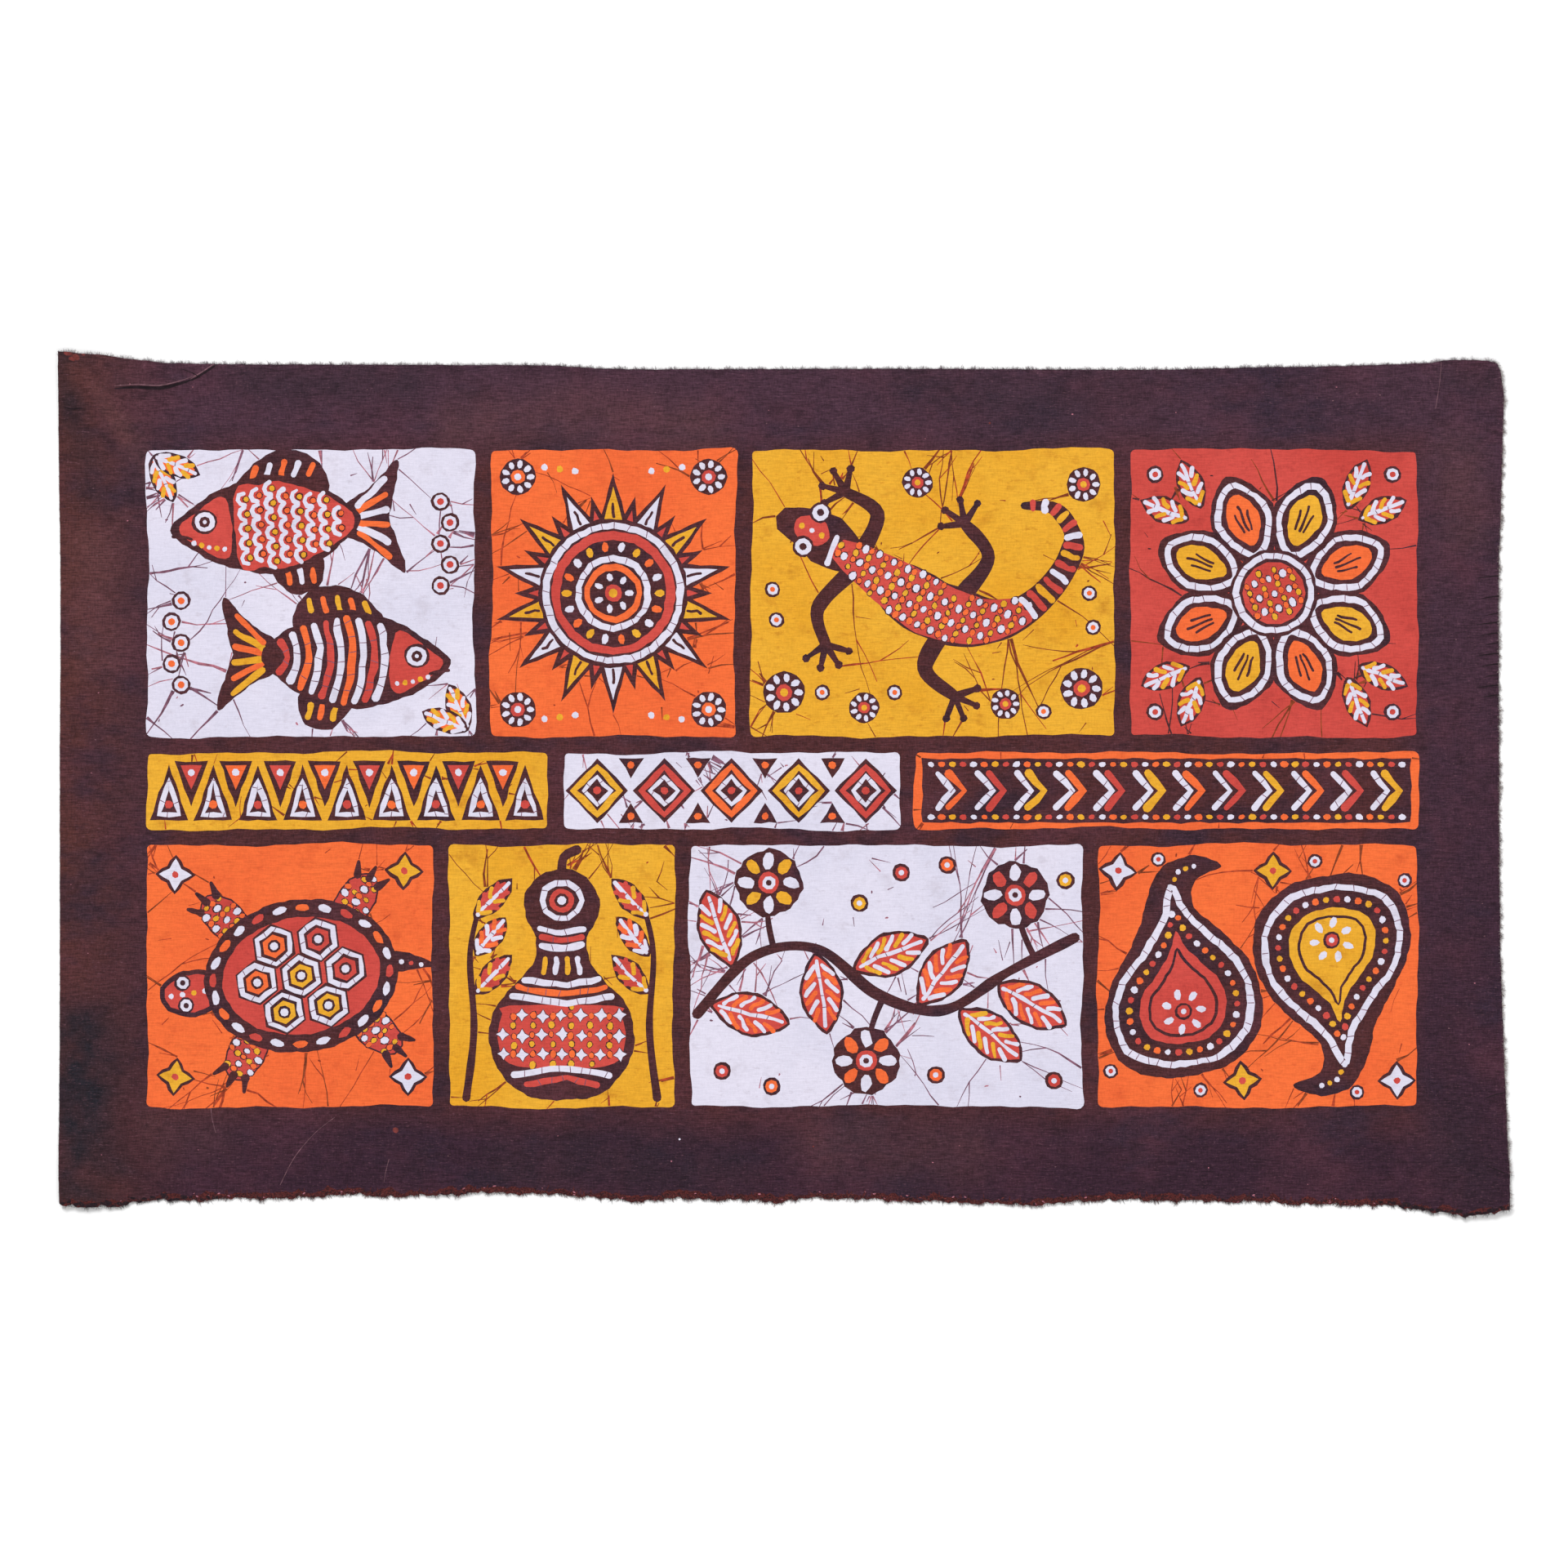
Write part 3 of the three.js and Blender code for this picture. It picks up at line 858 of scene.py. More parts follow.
def lone_cracks(rng, field, count, dyes):
    """Short cracks and small flakes that lie on their own anywhere in a panel."""
    made = []
    low, high = field.min(0) + 6, field.max(0) - 6
    for _ in range(count // 5):
        start = rng.uniform(low, high)
        a = rng.uniform(0, 2 * math.pi)
        end = start + rng.uniform(3, 13) * np.array([math.cos(a), math.sin(a)])
        made.append((str(rng.choice(dyes)), crack_line(rng, start, np.clip(end, low - 4, high + 4), 0.4)[1]))
    for _ in range(count // 8):
        spot = rng.uniform(low, high)
        flake = ellipse(*spot, rng.uniform(0.5, 1.3), rng.uniform(0.3, 0.6), rng.uniform(0, 180), 7)
        made.append((str(rng.choice(dyes)), by_hand(rng, flake, 0.15, 2)))
    return made


def crack_bundle(rng, start, heading, far, dyes):
    """One crack that reaches the next wall, or a few that leave from about one place and spread."""
    across = leftward(heading)
    made = []
    for k in range(rng.choice([1, 2, 3], p=BUNDLE_ODDS)):
        begin = start + across * rng.normal(0, 0.8) * (k > 0)
        reach = far + 0.5 if k == 0 else far * rng.uniform(0.5, 1.0)
        end = start + heading * reach + across * rng.normal(0, 1.5 + 0.12 * far) * (k > 0)
        width = rng.choice(CRACK_WIDTHS, p=WIDTH_ODDS)
        path, outline = crack_line(rng, begin, end, width)
        made.append((str(rng.choice(dyes)), outline))
        if far > LONG_GAP and rng.uniform() < FORKED:
            fork = path[len(path) // 2]
            aside = across * rng.choice([-1, 1]) * far * rng.uniform(0.12, 0.35)
            aim = fork + heading * far * 0.4 + aside
            made.append((str(rng.choice(dyes)), crack_line(rng, fork, aim, 0.46)[1]))
    return made


def panels():
    """Each panel's field, cracks and picture, to be painted in that order."""
    made = []
    high = BLOCK_HIGH
    for row in ROWS:
        left = BLOCK_LEFT
        for panel in row["panels"]:
            box = Box(left, high, panel["wide"], row["tall"])
            wax = Wax(11 + len(made))
            r = PANEL_CORNER
            turns = ((box.right - r, box.high - r, 0), (box.left + r, box.high - r, 90),
                     (box.left + r, box.low + r, 180), (box.right - r, box.low + r, 270))
            rounded = np.vstack([arc(x, y, r, a, a + 90, 4) for x, y, a in turns])
            field = by_hand(wax.rng, by_hand(wax.rng, straight(rounded, True), 0.42, 32), 0.75, 150)
            panel["draw"](wax, box)
            lines = cracks(wax, field, panel["cracks"], CRACK_DYES[panel["dye"]])
            lines = [(dye, outline, field) for dye, outline in lines]
            made.append({"field": (panel["dye"], field), "cracks": lines, "picture": wax.prints})
            left += panel["wide"] + GUTTER
        high -= row["tall"] + GUTTER
    return made


# The cloth's outline and relief, from the frame

def solid_of_cloth():
    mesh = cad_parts["cloth"].data
    places = np.array([v.co for v in mesh.vertices]) / MM
    return places, [tuple(p.vertices) for p in mesh.polygons]


def rim_of(places, faces):
    """The solid's outline from above: the edges between its upper face and its rim, in order."""
    same, first = np.unique(np.round(places, 3), axis=0, return_inverse=True)
    first = first.reshape(-1)
    owners = {}
    for face in faces:
        a, b, c = same[first[list(face[:3])]]
        up = unit(np.cross(b - a, c - a))[2]
        for i, v in enumerate(face):
            owners[int(first[v]), int(first[face[(i + 1) % len(face)]])] = up
    following = {a: b for (a, b), up in owners.items() if up > 0.5 and abs(owners.get((b, a), 1)) < 0.3}
    return anticlockwise(same[in_order(following)][:, :2])


def in_order(following):
    """The points of a loop, one after the other, from which point follows which."""
    start = min(following)
    loop, here = [start], following[start]
    while here != start:
        loop.append(here)
        here = following[here]
    return np.array(loop)


# Sharp creases, by their pixels in the photo: how high each is, how far it reaches to a side, and
# where a painted shadow line lies beside it, how wide that line is
CREASES = [
    {"path": [(141, 474), (166, 472), (196, 473), (222, 467), (241, 460)],
     "rise": 1.3, "half": 1.5, "dark": 1.7},
    {"path": [(234, 465), (250, 455), (266, 444)], "rise": 0.9, "half": 1.6, "dark": 1.1},
    {"path": [(222, 451), (236, 456), (247, 463)], "rise": 0.5, "half": 1.0, "dark": 0.5},
    {"path": [(90, 450), (128, 490), (160, 528), (190, 562)], "rise": 1.0, "half": 7.0},
    {"path": [(78, 497), (88, 500), (101, 499)], "rise": 0.7, "half": 1.2, "dark": 0.7},
    {"path": [(1815, 1345), (1832, 1339), (1847, 1336)], "rise": 0.6, "half": 1.2, "dark": 0.6},
    {"path": [(1820, 1426), (1834, 1432), (1847, 1438)], "rise": 0.6, "half": 1.2, "dark": 0.6},
    {"path": [(1010, 445), (1016, 470), (1012, 500)], "rise": 0.5, "half": 8.0},
    {"path": [(480, 1400), (560, 1410), (640, 1402)], "rise": 0.5, "half": 9.0},
    {"path": [(1250, 1410), (1330, 1400), (1420, 1412)], "rise": 0.5, "half": 8.0},
    {"path": [(1800, 1000), (1812, 1090), (1806, 1180)], "rise": 0.6, "half": 7.0},
    {"path": [(112, 900), (120, 1000), (112, 1110)], "rise": 0.5, "half": 8.0},
]

# The short ripples one under the other along the right edge, each by its row of pixels, each with a thin
# painted shadow line
RIPPLE_ROWS = (704, 729, 750, 761, 774, 786, 799, 812, 825, 838, 850)
for row, y in enumerate(RIPPLE_ROWS):
    ripple = [(1808 + 5 * (row % 3), y + 3), (1834, y), (1856, y - 1)]
    CREASES.append({"path": ripple, "rise": 0.95, "half": 2.2, "dark": 0.7})

# Thin pale lines painted on the ground, by their pixels
PALE_CREASES = [
    [(410, 1368), (385, 1388), (360, 1418), (343, 1451)],
    [(258, 1356), (260, 1372), (264, 1387)],
    [(1765, 443), (1763, 468), (1758, 500)],
    [(476, 1420), (472, 1436), (470, 1448)],
]

# Painted light and shade on the ground along its soft folds: paler (above 0) or darker, by photo pixels: a
# line, how far it reaches and how much
PAINTED_SHADING = [
    ([(92, 456), (130, 498), (165, 545), (188, 590)], 4.5, 0.4),
    ([(80, 438), (88, 486)], 9, -0.55),
    ([(90, 520), (104, 560), (112, 620)], 8, -0.4),
    ([(100, 1270), (104, 1360), (112, 1440)], 17, -0.95),
    ([(104, 1438), (128, 1448), (150, 1454)], 5, 0.6),
    ([(160, 1372), (200, 1392), (250, 1384)], 15, 0.22),
    ([(300, 462), (400, 470), (500, 466)], 9, -0.45),
    ([(560, 520), (700, 505), (860, 520)], 13, 0.3),
    ([(1120, 470), (1260, 500), (1380, 480)], 14, -0.3),
    ([(1786, 560), (1796, 640)], 12, 0.3),
    ([(1780, 458), (1822, 470)], 7, -0.4),
    ([(1770, 1380), (1800, 1440)], 14, -0.35),
    ([(110, 660), (120, 800)], 12, 0.35),
    ([(620, 1430), (760, 1420), (900, 1432)], 13, -0.35),
    ([(1000, 1400), (1180, 1410)], 14, 0.25),
]


def off_path(path, points, reach):
    """How far points are from a path, where they are within reach of it, and how far along it."""
    _, before = measured(path)
    near = np.full(len(points), np.inf)
    share = np.zeros(len(points))
    middle = (path.min(0) + path.max(0)) / 2
    close = np.flatnonzero((np.abs(points - middle) < np.ptp(path, axis=0) / 2 + reach + 1).all(1))
    for a, b, start in zip(path[:-1], path[1:], before[:-1]):
        gap = points[close] - a
        t = np.clip(gap @ (b - a) / ((b - a) @ (b - a)), 0, 1)
        away = np.linalg.norm(gap - t[:, None] * (b - a), axis=1)
        closer = away < near[close]
        near[close[closer]] = away[closer]
        share[close[closer]] = (start + t[closer] * np.linalg.norm(b - a)) / before[-1]
    return near, share


def bump(distance, reach):
    slope = np.clip(1 - distance / reach, 0, 1)
    return slope**2 * (3 - 2 * slope)


class Relief:
    """How high the underside of the cloth lies: the solid's own heights, smoothed, with the
    slight waves and the sharp creases that are too fine for the solid."""

    PITCH = 2.5
    MARGIN = 5.0
    WAVES = 16
    WAVE_RISE = 0.3

    def __init__(self, places, faces):
        tree = BVHTree.FromPolygons([Vector(p) for p in places], faces)
        self.low = places[:, :2].min(0) - self.MARGIN
        high = places[:, :2].max(0) + self.MARGIN
        self.shape = (np.ceil((high - self.low) / self.PITCH).astype(int) + 1)
        self.grid = np.full(self.shape, np.nan)
        for i, j in np.ndindex(*self.shape):
            x, y = self.low + self.PITCH * np.array([i, j])
            hit = tree.ray_cast(Vector((x, y, 100)), Vector((0, 0, -1)))[0]
            if hit is not None:
                self.grid[i, j] = hit.z - SOLID_THICKNESS
        self.fill_and_smooth()
        rng = np.random.default_rng(5)
        turns = rng.uniform(0, 2 * math.pi, self.WAVES)
        lengths = rng.uniform(26, 120, self.WAVES)
        self.waves = np.stack([np.cos(turns), np.sin(turns)]) * 2 * math.pi / lengths
        self.phases = rng.uniform(0, 2 * math.pi, self.WAVES)

    def fill_and_smooth(self):
        """Carries the edge heights outward, then smooths the facets away."""
        grid = self.grid
        while np.isnan(grid).any():
            shifted = [np.roll(grid, step, axis) for axis in (0, 1) for step in (1, -1)]
            known = np.sum([~np.isnan(s) for s in shifted], axis=0)
            near = np.isnan(grid) & (known > 0)
            grid[near] = (np.nansum(shifted, axis=0) / np.maximum(known, 1))[near]
        for _ in range(2):
            padded = np.pad(grid, 1, mode="edge")
            left, right = padded[:-2, 1:-1], padded[2:, 1:-1]
            below, above = padded[1:-1, :-2], padded[1:-1, 2:]
            grid = (4 * grid + left + right + below + above) / 8
        self.grid = np.maximum(grid, 0)

    def solid_height(self, points):
        at = (points - self.low) / self.PITCH
        cell = np.clip(np.floor(at).astype(int), 0, np.array(self.shape) - 2)
        u, v = np.clip(at - cell, 0, 1).T
        i, j = cell.T
        low = self.grid[i, j] * (1 - u) + self.grid[i + 1, j] * u
        high = self.grid[i, j + 1] * (1 - u) + self.grid[i + 1, j + 1] * u
        return low * (1 - v) + high * v

    def __call__(self, points):
        wave = np.sin(points @ self.waves + self.phases).mean(1)
        height = self.solid_height(points) + self.WAVE_RISE * (0.8 + 2 * wave).clip(0)
        for crease in CREASES:
            away, share = off_path(from_photo(crease["path"]), points, crease["half"])
            lift = crease["rise"] * np.sin(math.pi * np.clip(share, 0.04, 0.96))
            height = height + lift * bump(away, crease["half"])
        return height

    def normals(self, points):
        step = 0.4
        dx = self(points + [step, 0]) - self(points - [step, 0])
        dy = self(points + [0, step]) - self(points - [0, step])
        return unit(np.stack([-dx, -dy, np.full(len(points), 2 * step)], 1))


# Cutting the sheet

# How far apart points lie: along the raw edge, over plain parts, and in the corners, which start past
# this much of the length and of the width from the middle
EDGE_STEP = 1.7
PLAIN_PITCH = 9.5
FINE_PITCH = 3.6
CORNERS_FROM = (318, 168)

# How squarely a stretch of the outline has to face a side to count as that side's edge
FACING = 0.6

# The tears of the raw edge: each kind's length with its share of the depth, and how deep they are on most
# sides, along the foot and at the left
TEARS = ((34, 0.4), (15, 0.4), (8, 0.35), (5.4, 0.35), (3.7, 0.2))
TEAR_DEPTH = 0.16
FOOT_TEAR_DEPTH = 0.95
LEFT_TEAR_DEPTH = 0.08

# Larger specks on the border: dye, pixel of the photo and radius. Then the stain in its upper left corner
SPECKS = [
    ("white", 832, 1395, 0.6), ("rose", 822, 1422, 0.5), ("stain", 1212, 518, 0.6), ("stain", 484, 1384, 1.6),
    ("stain", 996, 1404, 0.5), ("rose", 1480, 1430, 0.35), ("rose", 236, 474, 0.35), ("rose", 1440, 505, 0.35),
]
STAIN = ((85, 434, 2.3), (94, 438, 2.3), (89, 441, 1.8), (103, 434, 1.1))

# How many small specks, and how many lint strokes and knots on the matted lower edge
SMALL_SPECKS = 60
LINT_STROKES = 300
LINT_KNOTS = 330


def raw_edge(rim):
    """The cloth's cut edge: the solid's outline, torn a little in and out, most along its foot."""
    rng = np.random.default_rng(21)
    loop = straight(rim, True, EDGE_STEP)
    out = outward(loop)
    steps = np.linalg.norm(np.roll(loop, -1, 0) - loop, axis=1)
    share = (np.cumsum(steps) - steps) / steps.sum()
    push = np.zeros(len(loop))
    for reach, weight in TEARS:
        push += weight * np.sin(2 * math.pi * (round(steps.sum() / reach) * share + rng.uniform()))
    depth = np.full(len(loop), TEAR_DEPTH)
    depth[out[:, 1] < -FACING] = FOOT_TEAR_DEPTH
    depth[out[:, 0] < -FACING] = LEFT_TEAR_DEPTH
    return loop + out * (push * depth)[:, None]


def border_prints(edge):
    """What shows on the plain border: the matted lower edge, painted shadow and highlight lines along creases,
    specks and a stain.
    """
    wax = Wax(41)
    low = edge[outward(edge)[:, 1] < -FACING]
    low = low[np.argsort(low[:, 0])]
    deep = 2.8 * uneven(wax.rng, len(low), 0.42, 3)
    wax.paint("lint", np.vstack([low - [0, 3.0], (low + np.stack([0 * deep, deep], 1))[::-1]]))
    crease_lines(wax)
    specks(wax)
    matted_edge(wax, low)
    for px, py, size in STAIN:
        spot = from_photo((px, py))[0]
        wax.shape("stain", ellipse(*spot, size, size * 0.6, -25), curve=as_given, wobble=0.5)
    return wax.prints


def crease_lines(wax):
    """The painted shadow line beside a sharp crease and the painted highlight along its ridge, and the thin
    pale lines.
    """
    for crease in CREASES:
        if "dark" in crease:
            path = through(from_photo(crease["path"]), False, 2.0)
            taper = np.sin(math.pi * np.linspace(0.1, 0.9, len(path)))
            across = leftward(np.gradient(path, axis=0))
            # painted shadow on the lower side of the crease's ridge
            wax.paint("shadow", strip(path - across * crease["dark"] * 0.6, crease["dark"] * taper))
            if crease["dark"] > 0.7:
                # painted highlight along the crease's ridge
                wax.paint("pale_ground", strip(path + across * 0.35, 0.6 * taper))
    for points in PALE_CREASES:
        path = through(from_photo(points), False, 3)
        wax.paint("pale_ground", strip(path, wax.rng.uniform(0.15, 0.4, len(path))))


def specks(wax):
    """The larger specks at their places, and small ones anywhere on the border."""
    rng = wax.rng
    for dye, px, py, radius in SPECKS:
        wax.dot(dye, *from_photo((px, py))[0], radius)
    for _ in range(SMALL_SPECKS):
        x, y = rng.uniform(-372, 372), rng.choice([-1, 1]) * rng.uniform(180, 214)
        if rng.uniform() < 0.35:
            x, y = rng.choice([-1, 1]) * rng.uniform(340, 374), rng.uniform(-200, 200)
        wax.dot(str(rng.choice(["pale_ground", "pale_ground", "rose"])), x, y, rng.uniform(0.2, 0.42), 1.3)


def matted_edge(wax, low):
    """The lower edge's lint: strokes and knots, and dark lumps towards its two ends."""
    rng = wax.rng
    for at in rng.choice(len(low), LINT_STROKES):
        lean = [rng.normal(0, 0.9), rng.uniform(2.2, 4.8)]
        wax.paint("lint", strip(low[at] + np.outer([0.2, 0.6, 1.0], lean), [0.6, 0.45, 0.2], False))
    for at in rng.choice(len(low), LINT_KNOTS):
        spot = low[at] + [rng.normal(0, 0.6), rng.uniform(-0.2, 3.2)]
        dye = str(rng.choice(["shadow", "shadow", "shadow", "rose", "stain"]))
        wax.dot(dye, *spot, rng.uniform(0.25, 0.6), 1.5, rng.uniform(-40, 40))
    for spot in low[(low[:, 0] < -296) | (low[:, 0] > 312)][::2]:
        lump = spot + [rng.uniform(-0.7, 0.7), rng.uniform(0.0, 2.0)]
        wax.dot("shadow", *lump, rng.uniform(0.9, 2.0), 1.35, rng.uniform(-30, 30))


def open_points(taken, edge):
    """Points that carry the relief over the plain parts, where no outline's points are near."""
    low, high = edge.min(0), edge.max(0)
    spots = []
    for j, y in enumerate(np.arange(low[1], high[1], PLAIN_PITCH * 0.866)):
        xs = np.arange(low[0] + PLAIN_PITCH / 2 * (j % 2), high[0], PLAIN_PITCH)
        spots.append(np.stack([xs, np.full(len(xs), y)], 1))
    xs, ys = np.meshgrid(np.arange(low[0], high[0], FINE_PITCH), np.arange(low[1], high[1], FINE_PITCH))
    fine = np.stack([xs.ravel(), ys.ravel()], 1)
    fine += np.random.default_rng(51).uniform(-0.6, 0.6, fine.shape)
    spots.append(fine[(np.abs(fine) > CORNERS_FROM).all(1)])
    for crease in CREASES:
        path = through(from_photo(crease["path"]), False, 2.2)
        across = leftward(np.gradient(path, axis=0)) * crease["half"]
        spots += [path + across * share for share in (-1, -0.55, 0, 0.55, 1)]
    spots = np.vstack(spots)
    spots = spots[inside(spots, grown(edge, -0.9))]
    cell = 2.2
    held = {tuple(c) for c in np.floor(taken / cell).astype(int)}
    keep = [tuple(c) not in held for c in np.floor(spots / cell).astype(int)]
    return spots[keep]


def cut(edge, prints):
    """A face of the sheet as triangles that no outline crosses, with each one's dye."""
    outlines = [edge] + [a_print[1] for a_print in prints]
    taken = np.vstack(outlines)
    edges = []
    first = 0
    for outline in outlines:
        count = len(outline)
        edges += [(first + i, first + (i + 1) % count) for i in range(count)]
        first += count
    points = np.vstack([taken, open_points(taken, edge)])
    made = delaunay_2d_cdt([Vector(p) for p in points], edges, [], 0, 1e-4)
    places = np.array([tuple(v) for v in made[0]])
    triangles = np.array(made[2])
    centres = places[triangles].mean(1)
    kept = inside(centres, edge)
    triangles, centres = triangles[kept], centres[kept]
    first, second = (places[triangles[:, k]] - places[triangles[:, 0]] for k in (1, 2))
    turned = first[:, 0] * second[:, 1] - first[:, 1] * second[:, 0] < 0
    triangles[turned] = triangles[turned][:, ::-1]
    used, triangles = np.unique(triangles, return_inverse=True)
    return places[used], triangles.reshape(-1, 3), dye_of(centres, prints)


def dye_of(centres, prints):
    """The dye that was painted last over each place. A print is a dye and its outline, and for a
    crack the outline of the field that it stays in."""
    names = list(DYES)
    dyes = np.zeros(len(centres), int)
    cell = 12.0
    cells = {}
    for i, key in enumerate(map(tuple, np.floor(centres / cell).astype(int))):
        cells.setdefault(key, []).append(i)
    for dye, outline, *field in prints:
        low, high = (np.floor(corner / cell).astype(int) for corner in (outline.min(0), outline.max(0)))
        near = [cells.get((i, j), []) for i in range(low[0], high[0] + 1) for j in range(low[1], high[1] + 1)]
        near = np.concatenate(near).astype(int)
        for limit in (outline, *field):
            near = near[inside(centres[near], limit)]
        dyes[near] = names.index(dye)
    return dyes


def rim_loop(triangles):
    """The points round the outer edge of a cut face, in order."""
    sides = {tuple(s) for s in np.vstack([triangles[:, [0, 1]], triangles[:, [1, 2]], triangles[:, [2, 0]]])}
    return in_order({int(a): int(b) for a, b in sides if (b, a) not in sides})


def sheet_mesh(edge, border, made, relief):
    """The cloth as one closed sheet: its painted face, the dye that shows through on the back,
    where the hairline cracks don't reach, and the cut rim between them."""
    front = border + [p for m in made for p in [m["field"], *m["cracks"], *m["picture"]]]
    back = [p for m in made for p in [m["field"], *m["picture"]] if p[0] != BREAK_DYE]
    flat, upper, upper_dyes = cut(edge, front)
    loop = rim_loop(upper)
    under_flat, under, under_dyes = cut(flat[loop], back)
    under_loop = rim_loop(under)
    start = np.argmin(np.linalg.norm(under_flat[under_loop] - flat[loop[0]], axis=1))
    under_loop = np.roll(under_loop, -start)
    count = len(flat)
    a, b = loop, np.roll(loop, -1)
    c, d = under_loop + count, np.roll(under_loop, -1) + count
    rim = np.vstack([np.stack([a, c, d], 1), np.stack([a, d, b], 1)])
    faces = np.vstack([upper, under[:, ::-1] + count, rim])

    both = np.vstack([flat, under_flat])
    height = relief(both) + np.repeat([THICKNESS, 0.0], [count, len(under_flat)])
    places = np.column_stack([both, height]) * MM
    mesh = bpy.data.meshes.new("batik_cloth")
    mesh.from_pydata(places.tolist(), [], faces.tolist())
    dyes = np.concatenate([upper_dyes, under_dyes, np.zeros(len(rim), int)])
    mesh.polygons.foreach_set("material_index", dyes)
    mesh.polygons.foreach_set("use_smooth", np.ones(len(faces), bool))

    normals = relief.normals(both)
    normals[count:] *= -1
    sideways = np.zeros((len(both), 3))
    sideways[loop, :2] = outward(flat[loop])
    sideways[under_loop + count] = sideways[loop]
    corners = np.concatenate([normals[faces[:-len(rim)]], sideways[rim]])
    mesh.normals_split_custom_set(corners.reshape(-1, 3).tolist())

    set_worn(mesh, both)
    set_bake_map(mesh, places, faces, len(upper), len(rim))
    return mesh


def set_worn(mesh, points):
    """The painted light (above 0) and painted shade on the ground at each point, for the ground's material."""
    painted_shading = np.zeros(len(points))
    for path, reach, amount in PAINTED_SHADING:
        away, _ = off_path(from_photo(path), points, reach * 2)
        painted_shading += amount * bump(away, reach * 2)
    mesh.attributes.new("painted_shading", "FLOAT", "POINT").data.foreach_set("value", painted_shading)


def set_bake_map(mesh, places, faces, upper_count, rim_count):
    """A flat map of the sheet's colours: the painted face at full width, the back above it."""
    span = LENGTH * MM * 1.02
    upper_high = 0.6
    under_scale = (1 - upper_high - 0.01) / (upper_high * 1.01)
    u, v = places[:, 0] / span + 0.5, places[:, 1] / span + upper_high / 2
    corner_u, corner_v = u[faces], v[faces]
    under = slice(upper_count, len(faces) - rim_count)
    corner_u[under] = (corner_u[under] - 0.5) * under_scale + 0.5
    corner_v[under] = (corner_v[under] - upper_high / 2) * under_scale + (1 + upper_high) / 2
    layer = mesh.uv_layers.new(name="OFBake")
    layer.data.foreach_set("uv", np.stack([corner_u, corner_v], -1).reshape(-1))


# Frayed threads along the raw edges

FRAYS = [
    {"name": "fray_upper", "side": (0, 1), "per_mm": 10.5, "reach": (0.8, 2.8), "inset": 0.9, "pale": 0.55,
     "spread": 62, "lift": 0.35, "radius": 0.06, "dyes": ("thread_dark", "thread_grey"), "seed": 61},
    {"name": "fray_right", "side": (1, 0), "per_mm": 12.5, "reach": (0.9, 3.1), "inset": 1.0, "pale": 0.7,
     "spread": 40, "lift": 0.35, "radius": 0.06, "dyes": ("thread_dark", "thread_cream"), "seed": 62},
    {"name": "fray_lower", "side": (0, -1), "per_mm": 13.0, "reach": (0.9, 3.0), "inset": 2.4, "pale": 0.42,
     "spread": 86, "lift": 0.6, "radius": 0.09, "dyes": ("thread_dark", "thread_lint"), "seed": 63,
     "dark_past": 312},
    {"name": "fray_left", "side": (-1, 0), "per_mm": 3.0, "reach": (0.3, 0.7), "inset": 0.3, "pale": 0.42,
     "spread": 40, "lift": 0.2, "radius": 0.06, "dyes": ("thread_dark", "thread_cream"), "seed": 64},
]
FIBRE_RINGS = 3
FIBRE_SIDES = 3


def fray_mesh(fray, edge, relief):
    """Short loose fibres rooted just inside one raw edge, as fine three-sided threads."""
    rng = np.random.default_rng(fray["seed"])
    side = np.array(fray["side"], float)
    following = np.roll(edge, -1, 0)
    steps = np.linalg.norm(following - edge, axis=1)
    facing = np.flatnonzero(outward(edge) @ side > FACING)
    count = int(fray["per_mm"] * steps[facing].sum())
    at = rng.choice(facing, count, p=steps[facing] / steps[facing].sum())
    root = edge[at] + (following[at] - edge[at]) * rng.uniform(0, 1, (count, 1))
    clump = 0.72 + 0.28 * np.sin(root @ [0.9, 0.8] + 2 * np.sin(root @ [0.23, 0.31]))
    root = root - side * rng.uniform(0, fray["inset"], (count, 1))
    turns = np.radians(rng.normal(0, fray["spread"] / 2, count))
    heading = np.cos(turns)[:, None] * side + np.sin(turns)[:, None] * leftward(side)
    bend = leftward(heading) * rng.normal(0, 0.35, (count, 1))
    length = rng.uniform(*fray["reach"], count) * clump
    base = relief(root) + THICKNESS * rng.uniform(0.2, 1.0, count)
    rise = rng.uniform(-0.6, 1.0, count) * fray["lift"]
    share = np.linspace(0, 1, FIBRE_RINGS)
    run = (length[:, None] * share)[..., None]
    flat = root[:, None] + heading[:, None] * run + bend[:, None] * run * share[:, None]
    high = base[:, None] + rise[:, None] * np.sin(math.pi * 0.8 * share) - 0.25 * share**2 * base[:, None]
    centres = np.concatenate([flat, np.maximum(high, 0.12)[..., None]], 2)
    mesh = tubes(fray["name"], centres, fray["radius"] * rng.uniform(0.7, 1.3, count))
    pale_share = np.where(np.abs(root[:, 0]) < fray.get("dark_past", LENGTH), fray["pale"], 0.08)
    pale = np.repeat(rng.uniform(0, 1, count) < pale_share, len(mesh.polygons) // count)
    mesh.polygons.foreach_set("material_index", pale.astype(int))
    return mesh


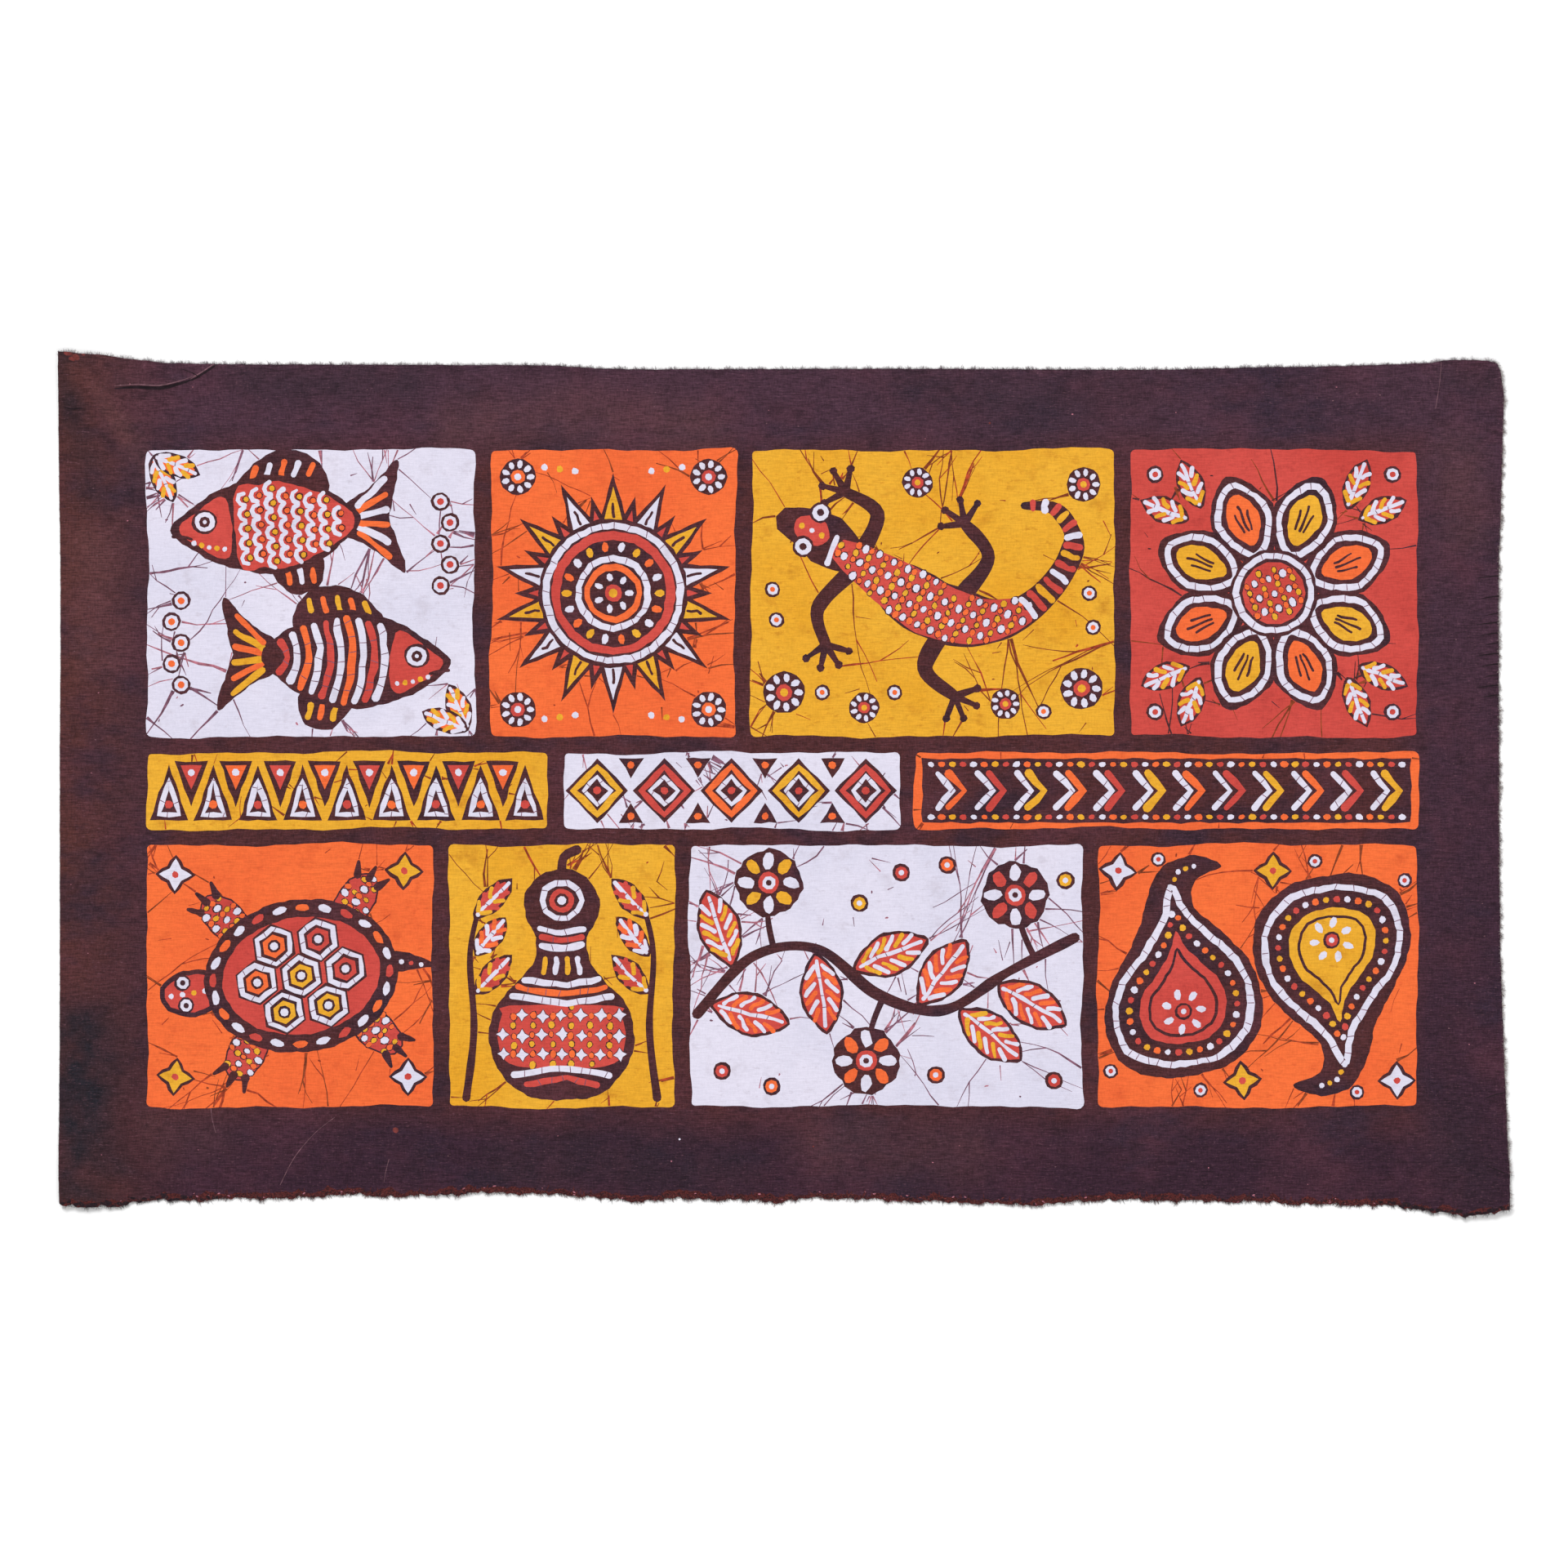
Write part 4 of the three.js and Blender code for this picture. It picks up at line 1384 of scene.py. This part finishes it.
def tubes(name, centres, radii):
    """Many thin closed tubes, one along each row of centres."""
    count = len(centres)
    across = unit(np.cross(centres[:, -1] - centres[:, 0], [0, 0, 1.0]))[:, None, None]
    angles = (np.arange(FIBRE_SIDES) * 2 * math.pi / FIBRE_SIDES)[:, None]
    reach = (radii[:, None] * np.linspace(1.0, 0.55, FIBRE_RINGS))[..., None, None]
    rings = centres[:, :, None] + reach * (np.cos(angles) * across + np.sin(angles) * np.array([0, 0, 1.0]))
    ring = np.arange(FIBRE_SIDES)
    ahead = (ring + 1) % FIBRE_SIDES
    last = (FIBRE_RINGS - 1) * FIBRE_SIDES
    one = [np.array([[2, 1, 0], [last, last + 1, last + 2]])]
    for k in range(0, last, FIBRE_SIDES):
        a, b, c, d = ring + k, ahead + k, ahead + k + FIBRE_SIDES, ring + k + FIBRE_SIDES
        one += [np.stack([a, b, c], 1), np.stack([a, c, d], 1)]
    starts = np.arange(count) * FIBRE_RINGS * FIBRE_SIDES
    faces = (np.vstack(one)[None] + starts[:, None, None]).reshape(-1, 3)
    mesh = bpy.data.meshes.new(name)
    mesh.from_pydata((rings.reshape(-1, 3) * MM).tolist(), [], faces.tolist())
    mesh.polygons.foreach_set("use_smooth", np.ones(len(faces), bool))
    return mesh


# Materials

# The share of a shown tone that the dye itself has, and how matt cotton takes light
ALBEDO_OF_SHOWN = 0.86
ROUGHNESS = 0.9
SPECULAR = 0.12
SHEEN = 0.08
SHEEN_ROUGHNESS = 0.5

# Clouds of tone over the dark ground: each one's noise, from where to where in the noise it sets in, how
# strong it is, and its tone
GROUND_CLOUDS = (
    ((0.02, 0.02, 4.0, 0.6), (0.46, 0.68), 0.5, (86, 48, 60)),
    ((0.013, 0.021, 4.0, 0.65), (0.52, 0.66), 0.65, (43, 34, 49)),
    ((0.05, 0.08, 4.0, 0.65), (0.52, 0.68), 0.5, (48, 30, 40)),
)


def linear(srgb):
    """A dye's linear colour, from what it shows as under this scene's lights."""
    values = np.asarray(srgb, float) / 255
    values = np.where(values <= 0.04045, values / 12.92, ((values + 0.055) / 1.055) ** 2.4)
    return (*(values * ALBEDO_OF_SHOWN), 1.0)


class Graph:
    """A material's nodes, added and linked in one call each."""

    def __init__(self, name):
        self.material = bpy.data.materials.new(name)
        self.material.use_nodes = True
        self.tree = self.material.node_tree
        self.tree.nodes.clear()

    def add(self, kind, inputs=None, **settings):
        node = self.tree.nodes.new("ShaderNode" + kind)
        for key, value in settings.items():
            setattr(node, key, value)
        for key, value in (inputs or {}).items():
            if isinstance(value, bpy.types.NodeSocket):
                self.tree.links.new(value, node.inputs[key])
            else:
                node.inputs[key].default_value = value
        return node

    def noise(self, x, y, detail=2.0, rough=0.55):
        """Noise on the object, with so many waves per millimetre along X and along Y."""
        spot = self.add("TexCoord").outputs["Object"]
        spot = self.add("Mapping", {"Vector": spot, "Scale": (x / MM, y / MM, y / MM)}).outputs[0]
        inputs = {"Vector": spot, "Scale": 1.0, "Detail": detail, "Roughness": rough}
        return self.add("TexNoise", inputs).outputs[0]

    def math(self, operation, a, b=0.0):
        return self.add("Math", {0: a, 1: b}, operation=operation).outputs[0]

    def stretch(self, value, low, high, to_low=0.0, to_high=1.0):
        inputs = {"Value": value, "From Min": low, "From Max": high, "To Min": to_low, "To Max": to_high}
        return self.add("MapRange", inputs, clamp=True).outputs[0]

    def mix(self, share, a, b, blend="MIX"):
        return self.add("MixRGB", {"Fac": share, "Color1": a, "Color2": b}, blend_type=blend).outputs[0]

    def patches(self, colour, noise, low, high, strength, tone):
        """A second tone over a colour, where a noise is between low and high or above."""
        return self.mix(self.stretch(noise, low, high, 0.0, strength), colour, linear(tone))

    def finish(self, colour, height, shade=0.0, depth=0.16, share=0.7):
        """The colour with a lighter and a darker shade from thread to thread, over cotton's bump."""
        if shade:
            light = self.stretch(height, 1.3, 2.0, 1 - shade, 1 + shade)
            light = self.add("CombineColor", {0: light, 1: light, 2: light}).outputs[0]
            colour = self.mix(1.0, colour, light, "MULTIPLY")
        normal = self.add("Bump", {"Height": height, "Distance": depth * MM, "Strength": share})
        shader = self.add("BsdfPrincipled", {
            "Base Color": colour, "Roughness": ROUGHNESS, "Normal": normal.outputs[0],
            "Specular IOR Level": SPECULAR, "Sheen Weight": SHEEN, "Sheen Roughness": SHEEN_ROUGHNESS,
        })
        self.add("OutputMaterial", {"Surface": shader.outputs[0]})
        return self.material

    def weave(self):
        """Plain weave as uneven threads both ways, as a height."""
        weft = self.math("MULTIPLY", self.noise(0.16, 1.4, 2.0, 0.6), 1.8)
        warp = self.noise(1.3, 0.3, 2.0, 0.6)
        grain = self.math("MULTIPLY", self.noise(1.1, 1.1, 1.0), 0.5)
        return self.math("ADD", self.math("ADD", weft, warp), grain)


def dyed(name, second, third, strength):
    """Cotton in one bright dye: uneven in large clouds, flecked, and streaked by its threads."""
    graph = Graph("dye_" + name)
    colour = graph.patches(linear(DYES[name]), graph.noise(0.016, 0.016, 3.0), 0.4, 0.66, 0.85, second)
    colour = graph.patches(colour, graph.noise(0.07, 0.07, 4.0, 0.62), 0.56, 0.74, strength, third)
    colour = graph.patches(colour, graph.noise(0.2, 0.4, 3.0, 0.7), 0.58, 0.72, strength * 0.9, third)
    return graph.finish(colour, graph.weave(), 0.05 if name == "white" else 0.11, share=0.4)


def dyed_ground():
    """The dark ground: warm between the panels, purple and uneven over the border, with painted light and
    shade along its soft folds.
    """
    graph = Graph("dye_ground")
    place = graph.add("TexCoord").outputs["Object"]
    place = graph.add("Mapping", {"Vector": place, "Scale": (1 / MM,) * 3}).outputs[0]
    place = graph.add("SeparateXYZ", {0: place})
    x, y = place.outputs[0], place.outputs[1]
    drift = graph.math("MULTIPLY", graph.math("SUBTRACT", graph.noise(0.013, 0.013, 3.0), 0.5), 26.0)
    aside = graph.math("SUBTRACT", graph.math("ABSOLUTE", x), 152.0)
    outer = graph.math("MAXIMUM", aside, graph.math("ABSOLUTE", y))
    border = graph.stretch(graph.math("ADD", outer, drift), 164.0, 186.0)
    height = graph.stretch(graph.math("ADD", y, drift), -200.0, 190.0)
    tone = graph.mix(height, linear((54, 32, 46)), linear((71, 46, 60)))
    tone = graph.mix(graph.stretch(x, -374.0, -310.0, 0.85, 0.0), tone, linear((86, 47, 42)))
    colour = graph.mix(border, linear(DYES["ground"]), tone)
    for waves, (low, high), strength, tone in GROUND_CLOUDS:
        colour = graph.patches(colour, graph.noise(*waves), low, high, strength, tone)
    # Painted light and shade along soft folds: paler where the attribute is above 0, darker where it is below
    painted_shading = graph.add("Attribute", attribute_name="painted_shading").outputs["Fac"]
    painted_shading = graph.math("MULTIPLY", painted_shading, graph.stretch(graph.noise(0.06, 0.06, 3.0), 0.3, 0.7, 0.6, 1.3))
    colour = graph.mix(graph.stretch(painted_shading, 0.0, 1.0), colour, linear((106, 66, 66)))
    colour = graph.mix(graph.stretch(painted_shading, 0.0, -1.0), colour, linear((36, 32, 40)))
    colour = graph.patches(colour, graph.noise(0.5, 1.7, 2.0, 0.7), 0.58, 0.74, 0.45, (118, 80, 92))
    return graph.finish(colour, graph.weave(), 0.36)


def stained(name):
    """A crack, speck or stain: a thin wash of the last dye, uneven along its length."""
    graph = Graph("dye_" + name)
    shown = np.array(DYES[name], float)
    strong, weak = linear(shown * 0.85), linear(np.minimum(shown * 1.18, 245))
    colour = graph.mix(graph.stretch(graph.noise(0.3, 0.3), 0.35, 0.65), strong, weak)
    return graph.finish(colour, graph.weave(), 0.14)


def threads(name, dark, light):
    """Matted threads and loose fibres, in tufts of uneven tone."""
    graph = Graph(name)
    tufts = graph.noise(1.1, 1.1, 3.0, 0.7)
    colour = graph.mix(graph.stretch(tufts, 0.36, 0.64), linear(dark), linear(light))
    return graph.finish(colour, tufts, depth=0.5, share=1.0)


# For each bright dye: its second and third tones, and how strong the third is
TONES = {
    "white": ((218, 215, 234), (200, 192, 206), 0.6),
    "yellow": ((229, 161, 38), (192, 122, 30), 0.6),
    "orange": ((239, 103, 55), (206, 80, 42), 0.5),
    "red": ((196, 67, 60), (162, 52, 50), 0.5),
}

# For each kind of loose thread: its dark tone and its light tone
THREADS = {
    "thread_dark": ((38, 27, 33), (72, 48, 56)),
    "thread_grey": ((104, 84, 94), (168, 148, 156)),
    "thread_cream": ((138, 114, 116), (214, 200, 192)),
    "thread_lint": ((78, 36, 36), (150, 88, 82)),
}


def dye_material(name):
    if name == "ground":
        return dyed_ground()
    if name == "lint":
        return threads("dye_lint", (44, 21, 25), (104, 46, 44))
    return dyed(name, *TONES[name]) if name in TONES else stained(name)


# Stage, lights and camera

FRAME_WIDTH = PHOTO_SIDE * PIXEL * MM
LENS = 100.0
SENSOR = 36.0

# The floor's half width and how far it lies below the cloth, in metres
FLOOR_HALF = 6.0
FLOOR_DROP = 0.0002
FLOOR_COLOUR = (0.94, 0.94, 0.94, 1)

# The sky's strength, and each light's name, place and width in metres, and power in watts
SKY_STRENGTH = 0.5
LIGHTS = (
    ("key", (-2.4, 6.0, 6.6), 3.6, 616),
    ("fill", (1.2, -1.6, 3.2), 2.4, 34),
)


def add_camera():
    """Straight above the cloth, far off with a long lens, with the photo's framing."""
    data = bpy.data.cameras.new("camera")
    data.lens = LENS
    data.sensor_width = SENSOR
    camera = bpy.data.objects.new("camera", data)
    camera.location = (0, 0, FRAME_WIDTH * LENS / SENSOR + SOLID_THICKNESS * MM)
    bpy.context.scene.collection.objects.link(camera)
    bpy.context.scene.camera = camera


def add_area(name, place, size, power):
    data = bpy.data.lights.new(name, "AREA")
    data.shape = "DISK"
    data.size = size
    data.energy = power
    light = bpy.data.objects.new(name, data)
    light.location = place
    light.rotation_euler = (-Vector(place)).to_track_quat("-Z", "Y").to_euler()
    bpy.context.scene.collection.objects.link(light)


def add_floor():
    """A plain pale floor."""
    mesh = bpy.data.meshes.new("floor")
    corners = [(a * FLOOR_HALF, b * FLOOR_HALF, 0) for a, b in ((-1, -1), (1, -1), (1, 1), (-1, 1))]
    mesh.from_pydata(corners, [], [(0, 1, 2, 3)])
    floor = bpy.data.objects.new("floor", mesh)
    floor.location = (0, 0, -FLOOR_DROP)
    bpy.context.scene.collection.objects.link(floor)
    material = bpy.data.materials.new("floor")
    material.use_nodes = True
    shader = material.node_tree.nodes["Principled BSDF"]
    shader.inputs["Base Color"].default_value = FLOOR_COLOUR
    shader.inputs["Roughness"].default_value = 0.9
    shader.inputs["Specular IOR Level"].default_value = 0.1
    mesh.materials.append(material)


def add_light():
    """A large soft light past the cloth's upper edge, a weak one opposite, and pale light all round."""
    world = bpy.data.worlds.new("world")
    world.use_nodes = True
    sky = world.node_tree.nodes["Background"]
    sky.inputs[0].default_value = (1.0, 1.0, 1.0, 1)
    sky.inputs[1].default_value = SKY_STRENGTH
    bpy.context.scene.world = world
    for light in LIGHTS:
        add_area(*light)
    bpy.context.scene.view_settings.view_transform = "Standard"
    bpy.context.scene.view_settings.look = "None"


def new_piece(name, mesh, materials):
    piece = bpy.data.objects.new(name, mesh)
    for material in materials:
        mesh.materials.append(material)
    bpy.context.scene.collection.objects.link(piece)
    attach(piece, "root")
    return piece


def main():
    add_camera()
    places, faces = solid_of_cloth()
    relief = Relief(places, faces)
    edge = raw_edge(rim_of(places, faces))
    sheet = sheet_mesh(edge, border_prints(edge), panels(), relief)
    cloth = new_piece("batik_cloth", sheet, [dye_material(name) for name in DYES])
    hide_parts("cloth")
    made = {name: threads(name, *tones) for name, tones in THREADS.items()}
    frays = [new_piece(f["name"], fray_mesh(f, edge, relief), [made[d] for d in f["dyes"]]) for f in FRAYS]
    add_floor()
    add_light()


main()
